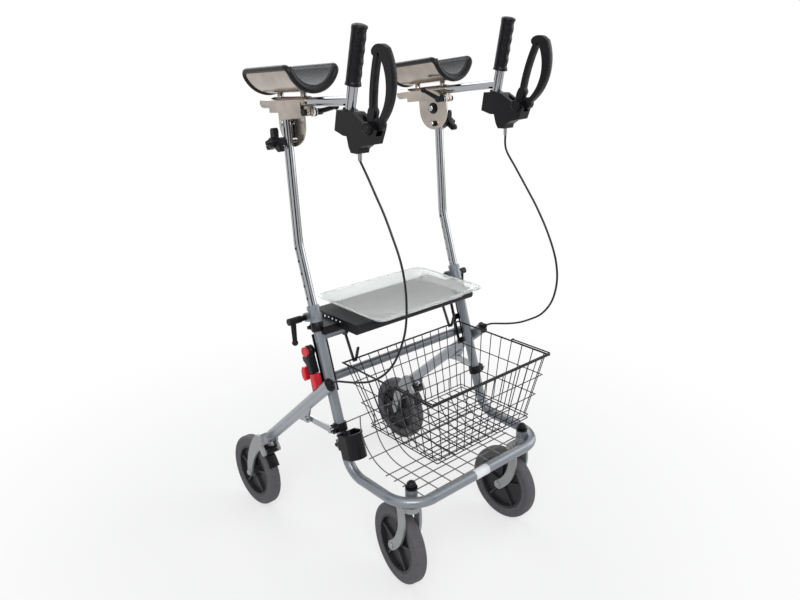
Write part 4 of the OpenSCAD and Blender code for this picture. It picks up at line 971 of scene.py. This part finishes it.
# Outlines beside the upright, in millimetres: along Y, and up the tube
HOUSING_HEAD = ((9, 44), (26, 44), (27, 62), (40, 76), (40, 86), (27, 92), (12, 92))
HOUSING_TAIL = ((25, 1), (32, -3), (31, 26), (26, 45))
STRAP = ((8, 10), (25.5, 2), (25.5, 43), (8, 43))
PADDLE_ARM = ((29, 84), (37, 84), (43, 58), (36, 56))
PADDLE_PLATE = ((36, 60), (46, 62), (53, 52), (54, 36), (47, 26), (38, 30))

# The cup that the button sits in: its axis, and its profile as radius and distance along X
CUP_AXIS = (22, 98)
CUP = ((9.1, 13), (13.5, 13), (13.5, 0), (0, 0), (0, 6), (9.1, 6), (9.1, 13))


class WALKER_OT_latch(WalkerOperator, bpy.types.Operator):
    """The fold latch on the right leg: a black housing, a red strap beside it and a red thumb paddle"""
    bl_idname = "walker.latch"
    bl_label = "Fold latch"

    def block(self, bm, outline, start, end, place):
        """A block with that outline, from start to end along X, with rounded edges."""
        verts = [bm.verts.new((start * MM, y * MM, z * MM)) for y, z in outline]
        face = bm.faces.new(verts)
        made = bmesh.ops.extrude_face_region(bm, geom=[face])["geom"]
        far = [v for v in made if isinstance(v, bmesh.types.BMVert)]
        bmesh.ops.translate(bm, verts=far, vec=((end - start) * MM, 0, 0))
        own = set(verts) | set(far)
        edges = [e for e in bm.edges if e.verts[0] in own and e.verts[1] in own]
        rounded = bmesh.ops.bevel(bm, geom=edges, offset=LATCH_EDGE * MM, offset_type="OFFSET", segments=3,
                                  profile=0.5, affect="EDGES", material=-1, clamp_overlap=True)
        whole = {v for f in rounded["faces"] for v in f.verts} | {v for v in own if v.is_valid}
        bmesh.ops.transform(bm, matrix=place, verts=list(whole))

    def make(self, sizes, colours):
        behind = (LATCH_Z - UPRIGHT_FOOT_Z) * math.tan(UPRIGHT_LEAN)
        cross = Vector((0, UPRIGHT_FOOT_Y + behind, LATCH_Z)) * MM
        to_right = Matrix.Diagonal((-1, 1, 1, 1))
        place = to_right @ Matrix.Translation(cross) @ Matrix.Rotation(-UPRIGHT_LEAN, 4, "X")
        bm = bmesh.new()
        self.block(bm, HOUSING_HEAD, LATCH_IN, LATCH_OUT, place)
        self.block(bm, HOUSING_TAIL, LATCH_IN + 2, LATCH_OUT - 2, place)
        lathe(bm, CUP, place @ Matrix.Translation(Vector((LATCH_IN, *CUP_AXIS)) * MM))
        housing = piece("latch_housing", bm, "rear_frame", "black_plastic")
        bm = bmesh.new()
        self.block(bm, STRAP, LATCH_IN - 0.5, LATCH_OUT + 0.5, place)
        piece("latch_strap", bm, "rear_frame", "red_plastic")
        bm = bmesh.new()
        self.block(bm, PADDLE_ARM, LATCH_IN + 6, LATCH_OUT - 6, place)
        self.block(bm, PADDLE_PLATE, LATCH_IN - 4, LATCH_OUT + 4, place)
        paddle = piece("latch_paddle", bm, "latch_lever", "red_plastic")
        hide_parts("latch_body")
        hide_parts("latch_lever")


# Tray

# Loops of the tray's sheet, in millimetres outwards and up: the bends at the wall's foot and top, and the
# flange's lip; FLANGE_TAKES is what the lip and a margin in the solid's box take of the flange's width
FOOT_BEND = ((0.8, 0.4), (0.8, 1.0), (0.6, 2.0))
TOP_BEND = (1.0, 0.9)
LIP = ((1.4, -0.8), (0.4, -2.0))
FLANGE_TAKES = 2.6

# What the two bends take of the wall's lean, and with a margin of its rise
BENDS_OUT = 3.2
BENDS_UP = 4.4

# The sheet is thinner than the wall that its solid has
SHEET_SHARE = 0.8


class WALKER_OT_tray(WalkerOperator, bpy.types.Operator):
    """The clear tray on the seat: round corners, leaning walls and a rolled flange"""
    bl_idname = "walker.tray"
    bl_label = "Tray"

    def grow(self, bm, edges, centre, size, more, up):
        """Extrudes the open edge, widened by more on every side and lifted."""
        made = bmesh.ops.extrude_edge_only(bm, edges=edges)["geom"]
        verts = [v for v in made if isinstance(v, bmesh.types.BMVert)]
        wider = Matrix.Diagonal(((size[0] + more) / size[0], (size[1] + more) / size[1], 1, 1))
        shift = Matrix.Translation(centre)
        lift = Matrix.Translation((0, 0, up))
        bmesh.ops.transform(bm, verts=verts, matrix=lift @ shift @ wider @ shift.inverted())
        size[0] += more
        size[1] += more
        return [e for e in made if isinstance(e, bmesh.types.BMEdge)]

    def make(self, sizes, colours):
        low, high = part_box("tray")
        wall = sizes.tray_wall
        centre = Vector(((low[0] + high[0]) / 2, (low[1] + high[1]) / 2, 0))
        size = [(high[k] - low[k]) / 2 - sizes.tray_rim - sizes.tray_slope for k in (0, 1)]
        place = Matrix.Translation((centre.x, centre.y, low[2] + wall))
        bm = bmesh.new()
        bmesh.ops.create_grid(bm, x_segments=1, y_segments=1, size=1.0,
                              matrix=place @ Matrix.Diagonal((size[0], size[1], 1, 1)))
        bmesh.ops.bevel(bm, geom=bm.verts, offset=sizes.tray_corner, offset_type="OFFSET", segments=8,
                        profile=0.5, affect="VERTICES", material=-1)
        rise = high[2] - low[2] - wall
        leaning = (sizes.tray_slope / MM - BENDS_OUT, rise / MM - BENDS_UP)
        flange = (sizes.tray_rim / MM - FLANGE_TAKES, 0.0)
        edge = list(bm.edges)
        for more, up in (*FOOT_BEND, leaning, TOP_BEND, flange, *LIP):
            edge = self.grow(bm, edge, centre, size, more * MM, up * MM)
        made = piece("clear_tray", bm, "tray", "clear_plastic")
        thick = made.modifiers.new("sheet_thickness", "SOLIDIFY")
        thick.thickness = wall * SHEET_SHARE
        thick.offset = -1
        crisp = made.modifiers.new("crisp_edges", "EDGE_SPLIT")
        crisp.split_angle = math.radians(25)
        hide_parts("tray")


# Fittings

# A hexagon's width across its flats is this many times its radius
FLATS = 1.732

# Bolt heads and nuts, in millimetres: middle's distance off the face, width across flats, and height
Head = namedtuple("Head", "off across height")
GUIDE_HEAD = Head(8, 13, 4)
GUIDE_NUT = Head(2.4, 11, 5)
TILT_HEAD = Head(9, 12, 4)

# The guide pin's washer, as radius and distance inboard of the slotted plate
GUIDE_WASHER = ((6.6, 0.4), (13.5, 0.4), (14, 0.9), (14, 2.4), (13, 3), (6.6, 3), (6.6, 0.4))

# The guide pin stands over the pivot along the stem's upper run, which leans back by this
PIN_LEAN = math.radians(4.2)

# Washers on the bar clamp's screw: name, material, and inner face in millimetres inboard of the arm
CLAMP_WASHERS = (
    ("clamp_washer_white_", "white", 9.4),
    ("clamp_washer_black_", "black_plastic", 12.6),
    ("clamp_washer_steel_", "chrome", 15.8),
)
CLAMP_AT = Vector((0, -58, 60))
WASHER_BORE = 7.6
WASHER_EDGE = 10.2
WASHER_THICK = 3

# The cover over the brake lever's pin: its axis in the handle's frame, and its profile
COVER_AT = Vector((0, -70, -47))
COVER = ((0, 21.2), (7.5, 21.2), (8.2, 20.4), (9.6, 20.4), (10.4, 21.4), (12.4, 20.6), (12.9, 19.0),
         (0, 19.0))


class WALKER_OT_fittings(WalkerOperator, bpy.types.Operator):
    """Washers and bolt heads on the arms, and covers on the brake housings"""
    bl_idname = "walker.fittings"
    bl_label = "Fittings"

    def turned(self, name, body, material, place, profile):
        """A turned fitting about X, with crisp edges."""
        bm = bmesh.new()
        lathe(bm, profile, place)
        made = piece(name, bm, body, material)
        edge = made.modifiers.new("crisp_edges", "EDGE_SPLIT")
        edge.split_angle = math.radians(35)

    def hexagon(self, name, body, place, along, head):
        """A bolt head or nut that points along X, at that distance from the middle."""
        radius = head.across / FLATS * MM
        stand = Matrix.Translation((along * MM, 0, 0)) @ Matrix.Rotation(math.radians(90), 4, "Y")
        bm = bmesh.new()
        bmesh.ops.create_cone(bm, cap_ends=True, segments=6, radius1=radius, radius2=radius,
                              depth=head.height * MM)
        bmesh.ops.bevel(bm, geom=bm.edges, offset=0.5 * MM, offset_type="OFFSET", segments=1, profile=0.5,
                        affect="EDGES", material=-1)
        bmesh.ops.transform(bm, matrix=place @ stand, verts=bm.verts)
        piece(name, bm, body, "chrome", smooth=False)

    def bolts(self, side, sign, sizes):
        """The guide pin's washer and heads, and the tilt bolt's head, either side of the slotted plate."""
        outward = Matrix.Diagonal((sign, 1, 1, 1))
        pivot = outward @ Matrix.Translation((0, sizes.pivot_y, sizes.pivot_z))
        pin = pivot @ Matrix.Translation((0, sizes.guide_up * math.sin(PIN_LEAN),
                                          sizes.guide_up * math.cos(PIN_LEAN)))
        face = sizes.plate_x / MM
        outer = (sizes.stem_x + sizes.stem_d / 2) / MM
        stem = "stem_" + side
        washer = [(radius, face - inboard) for radius, inboard in GUIDE_WASHER]
        self.turned("guide_washer_" + side, stem, "black_plastic", pin, washer)
        self.hexagon("guide_head_" + side, stem, pin, face - GUIDE_HEAD.off, GUIDE_HEAD)
        self.hexagon("guide_nut_" + side, stem, pin, outer + GUIDE_NUT.off, GUIDE_NUT)
        self.hexagon("tilt_bolt_head_" + side, "tilt_knob_" + side, pivot, face - TILT_HEAD.off, TILT_HEAD)

    def make(self, sizes, colours):
        for side, sign in SIDES.items():
            clamp = arm_place(side) @ Matrix.Diagonal((sign, 1, 1, 1)) @ Matrix.Translation(CLAMP_AT * MM)
            for name, material, start in CLAMP_WASHERS:
                end = start + WASHER_THICK
                self.turned(name + side, "bar_clamp_lever_" + side, material, clamp,
                            [(WASHER_BORE, -start), (WASHER_EDGE, -start), (WASHER_EDGE, -end),
                             (WASHER_BORE, -end), (WASHER_BORE, -start)])
            self.bolts(side, sign, sizes)
            housing = handle_place(side) @ Matrix.Translation(COVER_AT * MM)
            for face in (-1, 1):
                end = "_in" if face == -sign else "_out"
                self.turned("lever_cover_" + side + end, "handle_" + side, "black_plastic",
                            housing @ Matrix.Diagonal((face, 1, 1, 1)), COVER)


class WALKER_PT_panel(bpy.types.Panel):
    """Lists the pieces of the walker"""
    bl_idname = "WALKER_PT_panel"
    bl_label = "Upright walker"
    bl_space_type = "VIEW_3D"
    bl_region_type = "UI"
    bl_category = "Walker"

    def draw(self, context):
        for operator in OPERATORS:
            self.layout.operator(operator.bl_idname)
        for group in (context.scene.walker_colours, context.scene.walker_sizes):
            for name in group.bl_rna.properties.keys():
                if name not in ("name", "rna_type"):
                    self.layout.prop(group, name)


OPERATORS = (
    WALKER_OT_stage,
    WALKER_OT_finishes,
    WALKER_OT_brake_cables,
    WALKER_OT_trough_pads,
    WALKER_OT_grips,
    WALKER_OT_bare_label,
    WALKER_OT_rack,
    WALKER_OT_latch,
    WALKER_OT_tray,
    WALKER_OT_fittings,
)
CLASSES = (WalkerColours, WalkerSizes, *OPERATORS, WALKER_PT_panel)


def register():
    for made in CLASSES:
        bpy.utils.register_class(made)
    bpy.types.Scene.walker_colours = PointerProperty(type=WalkerColours)
    bpy.types.Scene.walker_sizes = PointerProperty(type=WalkerSizes)


def unregister():
    del bpy.types.Scene.walker_colours
    del bpy.types.Scene.walker_sizes
    for made in reversed(CLASSES):
        bpy.utils.unregister_class(made)


def main():
    register()
    bpy.ops.walker.stage()
    bpy.ops.walker.finishes()
    bpy.ops.walker.brake_cables()
    bpy.ops.walker.trough_pads()
    bpy.ops.walker.grips()
    bpy.ops.walker.bare_label()
    bpy.ops.walker.rack()
    bpy.ops.walker.latch()
    bpy.ops.walker.tray()
    bpy.ops.walker.fittings()


if __name__ == "__main__":
    main()
